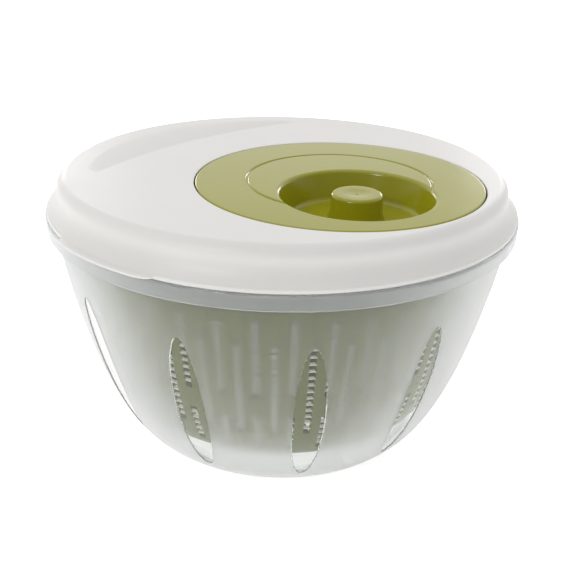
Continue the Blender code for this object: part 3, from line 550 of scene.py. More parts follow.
@dataclass
class FrostedBowl:
    """The bowl: one wall with a turned-down rim, frosted outside but for its polished leaves."""

    wall: float = 2.0 * MM
    skirt: float = 7.6 * MM  # height of the turned-down rim
    reach: float = 4.4 * MM  # rim beyond the wall
    foot: float = 71.1 * MM
    foot_ring: float = 5.0 * MM
    foot_hollow: float = 1.5 * MM
    pivot: float = 3.6 * MM
    pivot_waist: float = 4.6 * MM
    pivot_foot: float = 7.0 * MM
    pivot_height: float = 30.0 * MM
    edge: float = 0.95 * MM  # rounding of the rim
    leaves: int = 12
    leaf_low: float = 14.0 * MM
    leaf_high: float = 101.5 * MM
    leaf_half: float = 7.9 * MM  # half the width of a leaf
    leaf_sink: float = 0.45 * MM  # how deep a leaf is polished in
    leaf_bevel: float = 0.45 * MM
    leaf_angle: float = -82.4  # of one leaf, in degrees
    cells: int = 24  # columns from one leaf to the next
    leaf_cells: int = 5  # columns in half a leaf
    leaf_rows: int = 44
    foot_rows: int = 12
    top_rows: int = 6
    crowding: float = 2.2  # how much closer the rows lie at the foot
    rim_radius: float = field(init=False)
    rim_top: float = field(init=False)
    skirt_low: float = field(init=False)

    def __post_init__(self) -> None:
        """Read the rim's place from the frame."""
        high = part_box("outer_bowl")[1]
        self.rim_radius = high.x
        self.rim_top = high.z
        self.skirt_low = self.rim_top - self.skirt

    def wall_radius(self, height: float) -> float:
        """Radius of the outside of the wall."""
        share = min(max(height / self.skirt_low, 0.0), 1.0)
        return swell(self.foot, self.rim_radius - self.reach, share)

    def leaf_width(self, height: float) -> float:
        """Half the width of a leaf, which is an ellipse when laid flat.

        Args:
            height: the height above the table.

        Returns:
            Half its width, or none beyond its ends.
        """
        share = (height - self.leaf_low) / (self.leaf_high - self.leaf_low)
        if not 0.0 < share < 1.0:
            return 0.0
        return 2.0 * self.leaf_half * sqrt(share * (1.0 - share))

    def wall_heights(self) -> list[float]:
        """Heights of the rows of the outside, closer together at the leaves' ends.

        Returns:
            The heights, from the foot upwards.
        """
        below = [self.leaf_low * (i / self.foot_rows) ** self.crowding
                 for i in range(1, self.foot_rows)]
        span = self.leaf_high - self.leaf_low
        leaf = [self.leaf_low + span * (1.0 - cos(pi * i / self.leaf_rows)) / 2.0
                for i in range(self.leaf_rows + 1)]
        above = [self.leaf_high + (self.skirt_low - self.leaf_high) * i / self.top_rows
                 for i in range(1, self.top_rows + 1)]
        return below + leaf + above

    def outline(self) -> Outline:
        """The cross-section, from the middle of the foot round the rim to the pivot's tip.

        Returns:
            Its points, as radius and height.
        """
        ring = self.foot - self.foot_ring
        outer = [(self.wall_radius(z), z) for z in self.wall_heights()]
        floor = self.foot_hollow + self.wall
        inner = [p for p in inside_of([(self.foot, 0.0)] + outer[::3], self.wall)
                 if p[1] > floor]
        radius = self.rim_radius
        wall_top = radius - self.reach
        low = self.skirt_low
        under = self.rim_top - self.wall
        r = self.edge
        points = [(0.0, self.foot_hollow), (ring - self.foot_hollow, self.foot_hollow),
                  (ring, 0.0), (self.foot - 0.6 * MM, 0.0)]
        points += outer
        points += [(wall_top, under - 0.8 * MM), (wall_top + 0.8 * MM, under)]
        points += [(radius - self.wall, under), (radius - self.wall, low + r)]
        points += arc((radius - self.wall + r, low + r), r, 180.0, 360.0, 7)[1:]
        points += arc((radius - r, self.rim_top - r), r, 0.0, 90.0, 5)
        points += arc((wall_top - self.wall + r, self.rim_top - r), r, 90.0, 180.0, 5)
        points += reversed(inner)
        points += [(self.pivot_foot + 2.0 * MM, floor), (self.pivot_foot, floor + 1.5 * MM),
                   (self.pivot_waist, self.pivot_height / 2.0),
                   (self.pivot, self.pivot_height - 0.5 * MM),
                   (self.pivot - 0.5 * MM, self.pivot_height), (0.0, self.pivot_height)]
        return points

    def column(self, place: int, height: float) -> float:
        """Angle of a column from the middle of its leaf.

        Args:
            place: the column's number, counted from the leaf's middle.
            height: the row's height.

        Returns:
            The angle, so that one column runs along the leaf's edge.
        """
        even = FULL_TURN / (self.leaves * self.cells)
        width = self.leaf_width(height)
        if height > self.leaf_high:
            width = (height - self.leaf_high) * 0.5
        elif height < self.leaf_low:
            width = (self.leaf_low - height) * 0.6
        edge = min(max(width, 0.08 * MM) / self.wall_radius(height), even * self.leaf_cells)
        bevel = min(self.leaf_bevel / self.wall_radius(height), edge / self.leaf_cells)
        inner = self.leaf_cells - 1
        steps = abs(place)
        if steps <= inner:
            angle = (edge - bevel) * steps / inner
        else:
            share = (steps - self.leaf_cells) / (self.cells // 2 - self.leaf_cells)
            angle = edge + (FULL_TURN / self.leaves / 2.0 - edge) * share
        return copysign(angle, place)

    def shape_leaves(self, mesh: Mesh) -> list[bmesh.types.BMFace]:
        """Run the wall's columns along the leaves and sink the leaves.

        Args:
            mesh: the turned bowl.

        Returns:
            The faces of the leaves.
        """
        even = FULL_TURN / (self.leaves * self.cells)
        places = {}
        for point in mesh.verts:
            r = hypot(point.co.x, point.co.y)
            z = point.co.z
            on_wall = abs(r - self.wall_radius(z)) < 0.05 * MM
            if not (0.01 * MM < z < self.skirt_low - 0.01 * MM and on_wall):
                continue
            number = round(atan2(point.co.y, point.co.x) / even) % (self.leaves * self.cells)
            leaf, place = divmod(number + self.cells // 2, self.cells)
            place -= self.cells // 2
            sunk = abs(place) < self.leaf_cells and self.leaf_width(z) > 0.3 * MM
            depth = self.leaf_sink if sunk else 0.0
            angle = leaf * FULL_TURN / self.leaves + self.column(place, z)
            point.co.x, point.co.y = polar(r - depth, angle)
            places[point] = (place, z)
        leaves = []
        for face in mesh.faces:
            known = [places.get(point) for point in face.verts]
            if any(k is None for k in known):
                continue
            middle = sum(z for _, z in known) / len(known)
            if max(abs(k) for k, _ in known) <= self.leaf_cells and \
                    self.leaf_low < middle < self.leaf_high:
                leaves.append(face)
        return leaves

    def build(self) -> None:
        """Model and dress the bowl."""
        mesh = spun(self.outline(), self.leaves * self.cells)
        leaves = self.shape_leaves(mesh)
        for face in mesh.faces:
            middle = face.calc_center_median()
            r = hypot(middle.x, middle.y)
            skin = self.wall_radius(middle.z) - 0.6 * self.wall
            face.material_index = 0 if r > skin and r > self.foot else 1
            if middle.z > self.skirt_low and r > self.rim_radius - self.wall:
                face.material_index = 2
        for face in leaves:
            face.material_index = 1
        turn_mesh(mesh, radians(self.leaf_angle))
        piece = finish_mesh("bowl_shell", mesh)
        for finish in (FROSTED_SKIN, POLISHED_SKIN, MILKY_RIM):
            piece.data.materials.append(finish.make())
        smooth(piece, 30.0)
        hand_over(piece, Body.BOWL, "outer_bowl")


# ---------------------------------------------------------------- basket

@dataclass
class SlottedBasket:
    """The basket: columns of small slots, each column a ladder, and a slotted floor."""

    wall: float = 1.8 * MM
    lip: float = 2.0 * MM
    floor_radius: float = 81.2 * MM
    socket: float = 4.2 * MM
    socket_top: float = 30.3 * MM
    columns: int = 80
    column_angle: float = -86.5  # of one long column, in degrees
    slot: float = 3.1 * MM  # width of a slot
    pitch: float = 4.05 * MM  # from one slot to the next
    rung: float = 0.8 * MM  # between two slots
    first: float = 112.0 * MM  # upper end of the top slot
    rows: int = 20
    foot_rows: int = 7  # rows of the wall under the slots
    upper_run: tuple[int, int] = (0, 11)  # rows of the split columns
    lower_run: tuple[int, int] = (14, 20)
    middle_run: tuple[int, int] = (3, 17)  # rows of the columns between them
    floor_rings: tuple[float, ...] = (79.0, 74.0, 71.0, 58.0, 55.0, 42.0, 39.0, 27.0, 24.0,
                                      14.0, 9.0)  # radii of the floor's rows, in millimetres
    webs: tuple[float, float] = (40.5 * MM, 56.5 * MM)  # middles of the rings left in the floor
    web_half: float = 1.6 * MM
    drain_inner: float = 24.0 * MM
    drain_outer: float = 71.0 * MM
    ease: float = 0.3 * MM  # rounding of the slots' edges
    dogs: int = 6
    dog_width: float = 3.5 * MM
    dog_length: float = 9.0 * MM
    low: float = field(init=False)
    top: float = field(init=False)
    top_radius: float = field(init=False)

    def __post_init__(self) -> None:
        """Read the basket's place from the frame."""
        low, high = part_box("basket")
        self.low = low.z
        self.top = high.z
        self.top_radius = high.x - self.lip

    def wall_radius(self, height: float) -> float:
        """Radius of the outside of the wall.

        Args:
            height: the height above the table.

        Returns:
            The radius.
        """
        under = self.top - self.wall
        share = min(max((height - self.low) / (under - self.low), 0.0), 1.0)
        return swell(self.floor_radius, self.top_radius, share)

    def heights(self) -> list[float]:
        """Heights of the wall's rows, on the slots' edges.

        Returns:
            The heights, from the top downwards.
        """
        heights = [self.top - self.wall - 1.5 * MM]
        for row in range(self.rows):
            upper = self.first - row * self.pitch
            heights += [upper, upper - self.pitch + self.rung]
        last = heights[-1]
        heights += [last - (last - self.low - 0.15 * MM) * (i / self.foot_rows) ** 0.7
                    for i in range(1, self.foot_rows + 1)]
        return heights

    def outline(self) -> Outline:
        """The sheet's cross-section: lip, wall, floor and the socket over the pivot.

        Returns:
            Its points, as radius and height.
        """
        under = self.top - self.wall
        lip_end = self.top_radius + self.lip
        points = [(lip_end, under - 1.6 * MM), (lip_end - 0.1 * MM, under - 0.4 * MM),
                  (lip_end - 0.5 * MM, under), (self.top_radius + 0.5 * MM, under)]
        points += [(self.wall_radius(z), z) for z in self.heights()]
        points += [(self.floor_radius - 0.4 * MM, self.low)]
        points += [(r * MM, self.low) for r in self.floor_rings]
        points += [(self.socket + 1.2 * MM, self.low + 0.4 * MM),
                   (self.socket, self.low + 2.0 * MM), (self.socket, self.socket_top),
                   (0.0, self.socket_top)]
        return points

    def on_ladder(self, column: int, height: float) -> tuple[bool, bool]:
        """What a face in the middle of a column is.

        Args:
            column: the column's number.
            height: the face's height.

        Returns:
            Whether it is an opening, and whether it is a bar between two openings.
        """
        row, part = divmod((self.first - height) / self.pitch, 1.0)
        runs = (self.upper_run, self.lower_run) if column % 2 == 0 else (self.middle_run,)
        if part > 1.0 - self.rung / self.pitch:
            return (False, any(start <= row < end - 1 for start, end in runs))
        return (any(start <= row < end for start, end in runs), False)

    def cut_slots(self, mesh: Mesh) -> None:
        """Space the columns for the slots and take the slots' faces away.

        Args:
            mesh: the basket's sheet.
        """
        step = FULL_TURN / self.columns
        for point in mesh.verts:
            r = hypot(point.co.x, point.co.y)
            if r < 1.0 * MM:
                continue
            number = round(atan2(point.co.y, point.co.x) / (step / 2.0))
            column, side = divmod(number, 2)
            half = min(self.slot / 2.0 / r, step / 4.0)
            angle = column * step + (half if side else -half)
            point.co.x, point.co.y = polar(r, angle)
        gone = []
        for face in mesh.faces:
            middle = face.calc_center_median()
            r = hypot(middle.x, middle.y)
            place = (atan2(middle.y, middle.x) / step) % self.columns
            column = round(place) % self.columns
            on_slot = abs(place - round(place)) < 0.1
            on_wall = middle.z > self.low + 1.0 * MM and r > self.floor_radius
            on_floor = middle.z < self.low + 0.1 * MM
            between = int(place) % 2 == 0 and not on_slot
            drain = self.drain_inner < r < self.drain_outer and between
            web = any(abs(r - ring) < self.web_half for ring in self.webs)
            opening, rung = self.on_ladder(column, middle.z)
            if on_wall and on_slot and opening or on_floor and drain and not web:
                gone.append(face)
            # rung faces take the second material: pale with a faint glow, a painted highlight
            face.material_index = 1 if on_wall and on_slot and rung else 0
        bmesh.ops.delete(mesh, geom=gone, context="FACES")

    def add_dogs(self, piece: Piece) -> None:
        """Join the blocks in the mouth that the drive plate pushes.

        Args:
            piece: the basket.
        """
        inner = self.top_radius - self.wall
        under = self.top - self.wall
        blocks = []
        for number in range(self.dogs):
            low = Vector((inner - self.dog_width, -self.dog_width / 2.0, under - self.dog_length))
            high = Vector((inner + 0.5 * MM, self.dog_width / 2.0, under))
            blocks.append(bar(low, high, FULL_TURN * number / self.dogs))
        carve(piece, merged(blocks), Carve.ADD)

    def build(self) -> None:
        """Model and dress the basket."""
        mesh = spun(self.outline(), 2 * self.columns)
        face_out(mesh)
        self.cut_slots(mesh)
        turn_mesh(mesh, radians(self.column_angle))
        piece = finish_mesh("basket_shell", mesh)
        # the second finish is the rungs' painted highlight and painted glow
        for finish in (BASKET_GREEN, RUNG_PAINTED_HIGHLIGHT):
            piece.data.materials.append(finish.make())
        modify(piece, "SOLIDIFY", thickness=self.wall, offset=-1.0, use_even_offset=True,
               use_rim=True)
        modify(piece, "BEVEL", width=self.ease, segments=1, limit_method="ANGLE",
               angle_limit=radians(50.0))
        self.add_dogs(piece)
        smooth(piece)
        hand_over(piece, Body.BASKET, "basket")


# ---------------------------------------------------------------- lid

@dataclass
class FingerScoop:
    """The crescent scoop in the lid: deepest along its straight side, and run out at its arc."""

    outer: float = 104.4 * MM  # radius of its arc about the bowl's axis
    inner: float = 70.6 * MM  # its straight side from the axis, at the middle
    inner_curve: float = 255.0 * MM
    half: float = radians(51.0)
    middle: float = radians(139.9)
    depth: float = 6.0 * MM
    tip_share: float = 0.965
    along: int = 56  # steps from tip to tip
    across: int = 14

    def point(self, u: float, v: float) -> Point:
        """A flat place in the crescent.

        Args:
            u: from -1 at one tip to 1 at the other.
            v: from 0 on the arc to 1 on the straight side.

        Returns:
            Its X and Y.
        """
        turn = self.middle + self.half * u
        ax, ay = polar(self.outer, turn)
        side = self.outer * sin(self.half) * self.tip_share * u
        centre = self.inner - self.inner_curve
        reach = centre + sqrt(self.inner_curve ** 2 - side ** 2)
        bx = reach * cos(self.middle) - side * sin(self.middle)
        by = reach * sin(self.middle) + side * cos(self.middle)
        return (ax + (bx - ax) * v, ay + (by - ay) * v)

    def drop(self, u: float, v: float) -> float:
        """How deep the scoop is at a place: steepest at its straight side, none at the tips."""
        share = min(max(v, 0.0), 1.0)
        return self.depth * share ** 1.7 * (1.0 - u * u) ** 0.6

    def block(self, top: float, lift: float, grow: float) -> Piece:
        """A solid over the scoop's surface.

        Args:
            top: height of its flat upper side.
            lift: height from which the scoop's depth is counted.
            grow: how far it reaches beyond the crescent, as a share of its width.

        Returns:
            The solid's object.
        """
        mesh = bmesh.new()
        bmesh.ops.create_grid(mesh, x_segments=self.along, y_segments=self.across, size=1.0)
        for point in mesh.verts:
            u = point.co.x * (1.0 - WELD + grow * 0.1)
            v = (1.0 - point.co.y) / 2.0 * (1.0 + 2.0 * grow) - grow
            flat = max(min(u, 0.999), -0.999)
            x, y = self.point(u, v)
            point.co = (x, y, lift - self.drop(flat, v))
        raise_sheet(mesh, top)
        return finish_mesh("scoop", mesh)


@dataclass
class WhiteLid:
    """The lid: flat top, round shoulder, hollow flare, collar, lifting tab and two hollows."""

    wall: float = 2.2 * MM
    flat_inset: float = 12.5 * MM
    neck_inset: float = 6.9 * MM
    edge_inset: float = 0.8 * MM
    edge_height: float = 2.2 * MM
    edge_round: float = 0.8 * MM
    sweep: float = 60.0
    seat: float = 0.3 * MM
    collar_outer: float = 118.2 * MM
    collar_wall: float = 2.0 * MM
    collar_depth: float = 3.8 * MM
    opening_gap: float = 0.6 * MM
    tab_reach: float = 2.4 * MM
    tab_low: float = 0.6 * MM  # above the rim
    tab_thick: float = 1.6 * MM
    tab_angle: float = radians(-130.0)
    tab_half: float = radians(15.0)
    tab_root: float = 1.2 * MM  # its reach at its ends
    tab_cells: int = 36
    scoop_wall: float = 1.8 * MM
    boss: float = 3.6 * MM
    pilot: float = 1.8 * MM
    ear_circle: float = 81.2 * MM
    ear_top: float = 138.4 * MM
    ear_angles: tuple[float, ...] = (18.0, 98.0, 178.0, 258.0)
    steps: int = 192
    scoop: FingerScoop = field(default_factory=FingerScoop)
    rim_radius: float = field(init=False)
    rim_top: float = field(init=False)
    top: float = field(init=False)
    dial_axis: Vector = field(init=False)
    dial_radius: float = field(init=False)

    def __post_init__(self) -> None:
        """Read the lid's place from the frame."""
        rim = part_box("outer_bowl")[1]
        self.rim_radius = rim.x
        self.rim_top = rim.z
        self.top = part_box("lid_shell")[1].z
        self.dial_axis, self.dial_radius, _ = round_node("crank_dial")

    def outline(self) -> Outline:
        """The cross-section, from the top's middle round the edge to the underside's middle.

        Returns:
            Its points, as radius and height.
        """
        edge = self.rim_radius - self.edge_inset
        neck = self.rim_radius - self.neck_inset
        flat = self.rim_radius - self.flat_inset
        low = self.rim_top + self.seat
        shoulder = neck - flat
        flare_low = low + self.edge_height
        sweep = radians(self.sweep)
        flare = (edge - self.edge_round - neck) / (1.0 - cos(sweep))
        centre = (neck + flare, flare_low + flare * sin(sweep))
        points = [(0.0, self.top)]
        points += arc((flat, self.top - shoulder), shoulder, 90.0, 0.0, 12)
        points += arc(centre, flare, 180.0, 180.0 + self.sweep, 14)
        points += arc((edge - self.edge_round, flare_low - self.edge_round), self.edge_round,
                      60.0, 0.0, 4)
        points += [(edge, low + 0.3 * MM), (edge - 0.3 * MM, low)]
        inner = flare + self.wall
        meet = degrees(acos((centre[0] - self.collar_outer) / inner))
        points += [(centre[0] - inner * cos(sweep), low)]
        points += arc(centre, inner, 180.0 + self.sweep - 1.0, 180.0 + meet, 6)
        collar_low = self.rim_top - self.collar_depth
        collar_inner = self.collar_outer - self.collar_wall
        points += [(self.collar_outer, collar_low + 0.4 * MM),
                   (self.collar_outer - 0.4 * MM, collar_low),
                   (collar_inner + 0.4 * MM, collar_low), (collar_inner, collar_low + 0.4 * MM)]
        points += [(collar_inner, self.rim_top + 3.0 * MM)]
        points += arc((flat, self.top - shoulder), shoulder - self.wall, 0.0, 90.0, 8)
        points += [(0.0, self.top - self.wall)]
        return points

    def tab(self) -> Piece:
        """The lifting tab: a thin lip beyond the edge, with rounded ends and edges.

        Returns:
            The tab's object.
        """
        outer = self.rim_radius + self.tab_reach
        inner = self.rim_radius - self.edge_inset - self.wall / 2.0
        least = inner + self.tab_root
        low = self.rim_top + self.tab_low
        mesh = bmesh.new()
        bmesh.ops.create_grid(mesh, x_segments=self.tab_cells, y_segments=1, size=1.0)
        for point in mesh.verts:
            share = (point.co.x + 1.0) / 2.0
            ends = min(1.0, sin(pi * min(max(share, 0.0), 1.0)) * 3.0) ** 0.5
            radius = least + (outer - least) * ends if point.co.y > 0.0 else inner
            x, y = polar(radius, self.tab_angle + self.tab_half * (2.0 * share - 1.0))
            point.co = (x, y, low)
        raise_sheet(mesh, low + self.tab_thick)
        rims = [e for e in mesh.edges if len(e.link_faces) == 2
                and e.calc_face_angle(0.0) > radians(60.0)
                and all(hypot(p.co.x, p.co.y) > inner + 0.8 * MM for p in e.verts)]
        bmesh.ops.bevel(mesh, geom=rims, offset=0.6 * MM, offset_type="OFFSET", segments=3,
                        profile=0.5, affect="EDGES", material=-1, clamp_overlap=True)
        return finish_mesh("tab", mesh)

    def opening(self) -> Piece:
        """Tool for the dial's opening, with a small round at its upper edge.

        Returns:
            The tool's object.
        """
        radius = self.dial_radius + self.opening_gap
        ease = 0.5 * MM
        above = self.top + 3.0 * MM
        below = self.top - 2.0 * self.wall
        outline = [(0.0, above), (radius + 1.2 * MM, above), (radius + ease, self.top + 0.2 * MM)]
        outline += arc((radius + ease, self.top - ease), ease, 100.0, 180.0, 5)
        outline += [(radius, below), (0.0, below)]
        return finish_mesh("opening", spun(outline, 160), self.dial_axis)

    def bosses(self, radius: float, low: float, high: float) -> Piece:
        """One pillar at each of the housing's screws."""
        return merged(ring_of_pillars(radius, low, high, 32, self.dial_axis, self.ear_circle,
                                      self.ear_angles))

    def build(self) -> None:
        """Model and dress the lid."""
        shell = finish_mesh("lid_cover", spun(self.outline(), self.steps))
        middle = self.top - self.wall / 2.0
        carve(shell, self.scoop.block(middle, self.top - self.scoop_wall, 0.05), Carve.ADD)
        carve(shell, self.tab(), Carve.ADD)
        carve(shell, self.bosses(self.boss, self.ear_top + self.seat, middle), Carve.ADD)
        carve(shell, self.scoop.block(self.top + 4.0 * MM, self.top + 0.12 * MM, 0.0),
              Carve.REMOVE)
        carve(shell, self.opening(), Carve.REMOVE)
        carve(shell, self.bosses(self.pilot, self.ear_top - self.seat, self.top - self.wall),
              Carve.REMOVE)
        dress(shell.data, LID_WHITE)
        smooth(shell)
        hand_over(shell, Body.LID, "lid_shell")


# ---------------------------------------------------------------- dial and knob

@dataclass
class CrankDial:
    """The green dial: a disc with a groove ring, and the off-centre dish for a finger."""

    plate: float = 2.4 * MM
    skirt: float = 1.8 * MM
    skirt_low: float = 132.3 * MM
    edge: float = 0.9 * MM
    groove: float = 46.9 * MM
    groove_half: float = 0.8 * MM
    groove_depth: float = 0.7 * MM
    dish: float = 37.2 * MM
    dish_floor: float = 33.5 * MM
    dish_depth: float = 15.0 * MM
    dish_wall: float = 1.8 * MM
    floor_wall: float = 2.0 * MM
    lip: float = 2.4 * MM  # rounding of the dish's upper edge
    fillet: float = 3.0 * MM
    post: float = 6.5 * MM
    post_height: float = 10.1 * MM
    post_wall: float = 1.8 * MM
    hub: float = 5.0 * MM
    hub_low: float = 123.0 * MM
    shank: float = 1.5 * MM  # radius of a screw's thread
    gap: float = 0.3 * MM  # clearance round a screw and over the ring gear
    boss: float = 3.6 * MM
    screw_circle: float = 66.0 * MM
    screw_angles: tuple[float, ...] = (60.0, 160.0, 250.0)
    ring_top: float = 131.1 * MM
    top: float = field(init=False)
    radius: float = field(init=False)
    axis: Vector = field(init=False)
    dish_axis: Vector = field(init=False)

    def __post_init__(self) -> None:
        """Read the dial's and the knob's places from the frame."""
        self.axis, self.radius, self.top = round_node("crank_dial")
        self.dish_axis = round_node("crank_knob")[0]

    def disc_outline(self) -> Outline:
        """The disc with its groove ring and skirt.

        Returns:
            Its points, as radius and height.
        """
        top = self.top
        under = top - self.plate
        half = self.groove_half
        side = [(half + 0.5 * MM, 0.0), (half + 0.15 * MM, 0.06 * MM),
                (half - 0.15 * MM, 0.3 * MM), (0.35 * MM, self.groove_depth)]
        points = [(0.0, top)]
        points += [(self.groove - out, top - deep) for out, deep in side]
        points += [(self.groove + out, top - deep) for out, deep in reversed(side)]
        points += arc((self.radius - self.edge, top - self.edge), self.edge, 90.0, 0.0, 6)
        inner = self.radius - self.skirt
        points += [(self.radius, self.skirt_low), (inner, self.skirt_low), (inner, under),
                   (0.0, under)]
        return points

    def dish_outline(self) -> Outline:
        """The hollow of the dish round its post, from above the top down to the axis.

        Returns:
            Its points, as radius and height.
        """
        top = self.top
        floor = top - self.dish_depth
        lip = self.lip
        lean = degrees(atan2(self.dish - self.dish_floor, self.dish_depth))
        points = [(0.0, top + 4.0 * MM), (self.dish + 3.2 * MM, top + 4.0 * MM)]
        points += arc((self.dish + lip, top - lip), lip, 98.0, 180.0 - lean, 9)
        corner = (self.dish_floor - self.fillet + 0.7 * MM, floor + self.fillet)
        points += arc(corner, self.fillet, -lean, -90.0, 7)
        points += [(self.post + 1.0 * MM, floor), (self.post, floor + 1.0 * MM),
                   (self.post, floor + self.post_height), (0.0, floor + self.post_height)]
        return points

    def build(self) -> None:
        """Model and dress the dial."""
        dial = finish_mesh("dial_disc", spun(self.disc_outline(), 192), self.axis)
        middle = self.top - self.plate / 2.0
        floor = self.top - self.dish_depth
        bottom = floor - self.floor_wall
        bowl = [(0.0, middle), (self.dish + self.dish_wall, middle),
                (self.dish_floor + self.dish_wall, bottom + 1.0 * MM),
                (self.dish_floor + self.dish_wall - 1.0 * MM, bottom), (0.0, bottom)]
        carve(dial, finish_mesh("dish", spun(bowl, 128), self.dish_axis), Carve.ADD)
        posts = [pillar(self.hub, self.hub_low, bottom + self.floor_wall / 2.0, 48,
                        (self.axis.x, self.axis.y))]
        posts += ring_of_pillars(self.boss, self.ring_top + self.gap, middle, 24, self.axis,
                                 self.screw_circle, self.screw_angles)
        carve(dial, merged(posts), Carve.ADD)
        carve(dial, finish_mesh("hollow", spun(self.dish_outline(), 128),
                                self.dish_axis), Carve.REMOVE)
        post_top = floor + self.post_height
        ceiling = post_top - self.post_wall
        shank = self.shank + 2.0 * self.gap
        bore = self.post - self.post_wall
        cavity = [(0.0, post_top + 2.0 * MM), (shank, post_top + 2.0 * MM), (shank, ceiling),
                  (bore, ceiling), (bore, bottom - 2.0 * MM), (0.0, bottom - 2.0 * MM)]
        carve(dial, finish_mesh("cavity", spun(cavity, 48), self.dish_axis),
              Carve.REMOVE)
        pilot = self.shank + self.gap
        pilots = [pillar(pilot, self.hub_low - 2.0 * MM, bottom - 0.6 * MM, 24,
                         (self.axis.x, self.axis.y))]
        pilots += ring_of_pillars(pilot, self.ring_top - self.gap,
                                  self.top - self.plate - self.gap, 24, self.axis,
                                  self.screw_circle, self.screw_angles)
        carve(dial, merged(pilots), Carve.REMOVE)
        dress(dial.data, DIAL_GREEN)
        smooth(dial)
        hand_over(dial, Body.DIAL, "crank_dial")


@dataclass
class FingerKnob:
    """The free-turning knob in the dish, with a shallow dimple in its top."""

    edge: float = 12.6 * MM  # radius of its top
    base: float = 14.8 * MM
    wall: float = 1.8 * MM
    round: float = 1.9 * MM
    dimple: float = 8.6 * MM
    dimple_depth: float = 0.55 * MM
    dimple_rows: int = 8
    pip: float = 1.0 * MM  # the mould's gate mark in the dimple
    pip_height: float = 0.2 * MM
    waist_height: float = 4.2 * MM
    waist_reach: float = 0.55 * MM  # beyond the top's radius
    sleeve: float = 7.1 * MM  # bore round the dial's post
    sleeve_wall: float = 1.4 * MM
    roof: float = 143.9 * MM
    pilot: float = 1.8 * MM
    low: float = field(init=False)
    top: float = field(init=False)
    axis: Vector = field(init=False)

    def __post_init__(self) -> None:
        """Read the knob's place from the frame."""
        self.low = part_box("crank_knob")[0].z
        self.axis, _, self.top = round_node("crank_knob")

    def outline(self) -> Outline:
        """The cross-section, from the dimple's middle round the base to the pilot's roof.

        Returns:
            Its points, as radius and height.
        """
        top = self.top
        pip_top = top - self.dimple_depth + self.pip_height
        points = [(0.0, pip_top), (self.pip - self.pip_height - 0.1 * MM, pip_top),
                  (self.pip, top - self.dimple_depth)]
        for i in range(1, self.dimple_rows + 1):
            share = i / self.dimple_rows
            lift = share * share * (3.0 - 2.0 * share)
            points.append((self.pip + (self.dimple - self.pip) * share,
                           top - self.dimple_depth * (1.0 - lift)))
        points += arc((self.edge - self.round, top - self.round), self.round, 90.0, 12.0, 8)
        waist = self.low + self.waist_height
        neck = self.edge + self.waist_reach
        points += [(neck, waist), (self.base - 0.7 * MM, self.low + 1.3 * MM),
                   (self.base - 0.2 * MM, self.low + 0.5 * MM), (self.base, self.low)]
        points += [(self.base - self.wall, self.low), (neck - self.wall, waist),
                   (self.edge - self.wall, self.roof)]
        outer = self.sleeve + self.sleeve_wall
        foot = self.low + 2.0 * MM
        points += [(outer, self.roof), (outer, foot), (self.sleeve, foot),
                   (self.sleeve, self.roof), (self.pilot, self.roof),
                   (self.pilot, top - self.wall), (0.0, top - self.wall)]
        return points

    def build(self) -> None:
        """Model and dress the knob."""
        knob = finish_mesh("finger_knob", spun(self.outline(), 96), self.axis)
        dress(knob.data, DIAL_GREEN)
        smooth(knob)
        hand_over(knob, Body.KNOB, "crank_knob")


# ---------------------------------------------------------------- works inside the lid

@dataclass
class LidWorks:
    """The pieces inside the lid, which keep their shapes and get their finishes."""

    white: tuple[str, ...] = ("gear_housing", "drive_plate")
    natural: tuple[str, ...] = ("ring_gear", "drive_pinion", "pinion_bushing")
    steel: tuple[str, ...] = ("dial_washer", "dial_screw", "knob_washer", "knob_screw",
                              "drive_washer", "drive_screw")
    housing_screws: int = 4
    ring_screws: int = 3

    def dress(self) -> None:
        """Give every piece its material."""
        screws = tuple(f"{kind}_screw_{number + 1}" for kind, count in
                       (("housing", self.housing_screws), ("ring", self.ring_screws))
                       for number in range(count))
        for names, finish in ((self.white, INNER_WHITE), (self.natural, GEAR_NATURAL),
                              (screws + self.steel, SCREW_STEEL)):
            material = finish.make()
            for name in names:
                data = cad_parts[name].data
                data.materials.clear()
                data.materials.append(material)
                LOG.info("%s: %s", name, material.name)


# ---------------------------------------------------------------- studio

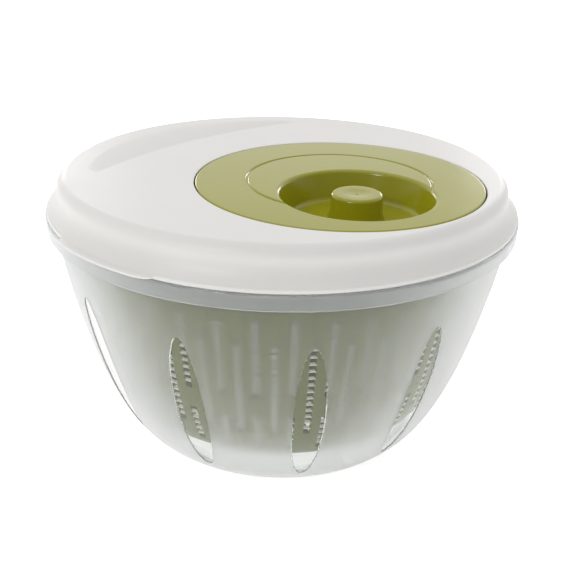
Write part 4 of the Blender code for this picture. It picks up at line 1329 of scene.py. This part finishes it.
@dataclass
class Studio:
    """A pale floor, a white surround, soft lights and the camera."""

    distance: float = 434.2 * MM
    pitch: float = radians(25.067)
    roll: float = 0.0216
    yaw: float = radians(-0.0971)
    aim: float = 78.2 * MM  # height that the camera looks at
    lens: float = 47.94
    surround: tuple[float, float] = (0.31, 1.08)  # brightness in front and behind
    dim_until: float = -0.6  # how far round, as the Y of a direction
    bright_from: float = 0.7
    silk: float = 0.55  # light that falls from above, in watts per square metre
    silk_spread: float = radians(70.0)
    silk_lean: tuple[float, float, float] = (radians(8.0), radians(-12.0), 0.0)
    floor_size: float = 6.0
    floor_drop: float = 0.2 * MM  # below the bowl's foot
    key: tuple[float, float] = (0.3, 5.6)  # side in metres, power in watts
    rim: tuple[float, float] = (0.5, 4.0)

    def camera(self) -> None:
        """Set up the camera."""
        aim = Vector((0.0, 0.0, self.aim))
        place = Vector((0.0, -self.distance * cos(self.pitch),
                        self.aim + self.distance * sin(self.pitch)))
        ahead = Matrix.Rotation(self.yaw, 3, "Z") @ (aim - place).normalized()
        right = ahead.cross(UPWARDS).normalized()
        up = right.cross(ahead)
        turn = Matrix.Rotation(self.roll, 3, ahead)
        right, up = turn.inverted() @ right, turn.inverted() @ up
        axes = Matrix((right, up, -ahead)).transposed().to_4x4()
        data = bpy.data.cameras.new("camera")
        data.lens = self.lens
        data.sensor_width = 36.0
        data.clip_start = 0.01
        camera = bpy.data.objects.new("camera", data)
        camera.matrix_world = Matrix.Translation(place) @ axes
        bpy.context.scene.collection.objects.link(camera)
        bpy.context.scene.camera = camera

    def world(self) -> None:
        """A white surround, dim on the camera's side and bright behind the spinner."""
        world = bpy.data.worlds.new("studio")
        world.use_nodes = True
        tree = world.node_tree
        dome = tree.nodes["Background"]
        dome.inputs["Color"].default_value = (1.0, 1.0, 1.0, 1.0)
        place = add_node(tree, "ShaderNodeTexCoord", {}, {}).outputs["Generated"]
        depth = add_node(tree, "ShaderNodeSeparateXYZ", {}, {0: place}).outputs["Y"]
        front, behind = self.surround
        light = add_node(tree, "ShaderNodeMapRange",
                         {"interpolation_type": "SMOOTHSTEP", "From Min": self.dim_until,
                          "From Max": self.bright_from, "To Min": front, "To Max": behind},
                         {"Value": depth})
        tree.links.new(light.outputs["Result"], dome.inputs["Strength"])
        bpy.context.scene.world = world
        bpy.context.scene.view_settings.view_transform = "Standard"

    def softbox(self, name: str, place: Vector, width: float, power: float) -> None:
        """A square area light aimed at the spinner.

        Args:
            name: the light's name.
            place: where it hangs.
            width: its side.
            power: its power in watts.
        """
        data = bpy.data.lights.new(name, "AREA")
        data.size = width
        data.energy = power
        light = bpy.data.objects.new(name, data)
        light.location = place
        aim = Vector((0.0, 0.0, self.aim)) - place
        light.rotation_euler = aim.to_track_quat("-Z", "Y").to_euler()
        bpy.context.scene.collection.objects.link(light)

    def ceiling(self) -> None:
        """A wide even light from above, as from a silk over the table."""
        data = bpy.data.lights.new("silk", "SUN")
        data.energy, data.angle = self.silk, self.silk_spread
        light = bpy.data.objects.new("silk", data)
        light.rotation_euler = self.silk_lean
        bpy.context.scene.collection.objects.link(light)

    def floor(self) -> None:
        """A pale floor under the bowl's foot."""
        mesh = bmesh.new()
        bmesh.ops.create_grid(mesh, x_segments=2, y_segments=2, size=self.floor_size)
        piece = finish_mesh("floor", mesh, Vector((0.0, 0.0, -self.floor_drop)))
        dress(piece.data, OPAL_TABLE)

    def build(self) -> None:
        """Set up the whole studio."""
        self.camera()
        self.world()
        self.ceiling()
        self.floor()
        self.softbox("key", Vector((-0.9, -1.3, 1.0)), *self.key)
        self.softbox("left", Vector((-0.85, 1.9, 0.35)), *self.rim)
        self.softbox("right", Vector((0.85, 1.9, 0.35)), *self.rim)


def main() -> None:
    """Build the spinner and the studio."""
    logging.basicConfig(level=logging.INFO, format="%(name)s %(message)s")
    Studio().build()
    for assembly in (FrostedBowl, SlottedBasket, WhiteLid, CrankDial, FingerKnob):
        assembly().build()
    LidWorks().dress()


if __name__ == "__main__":
    main()
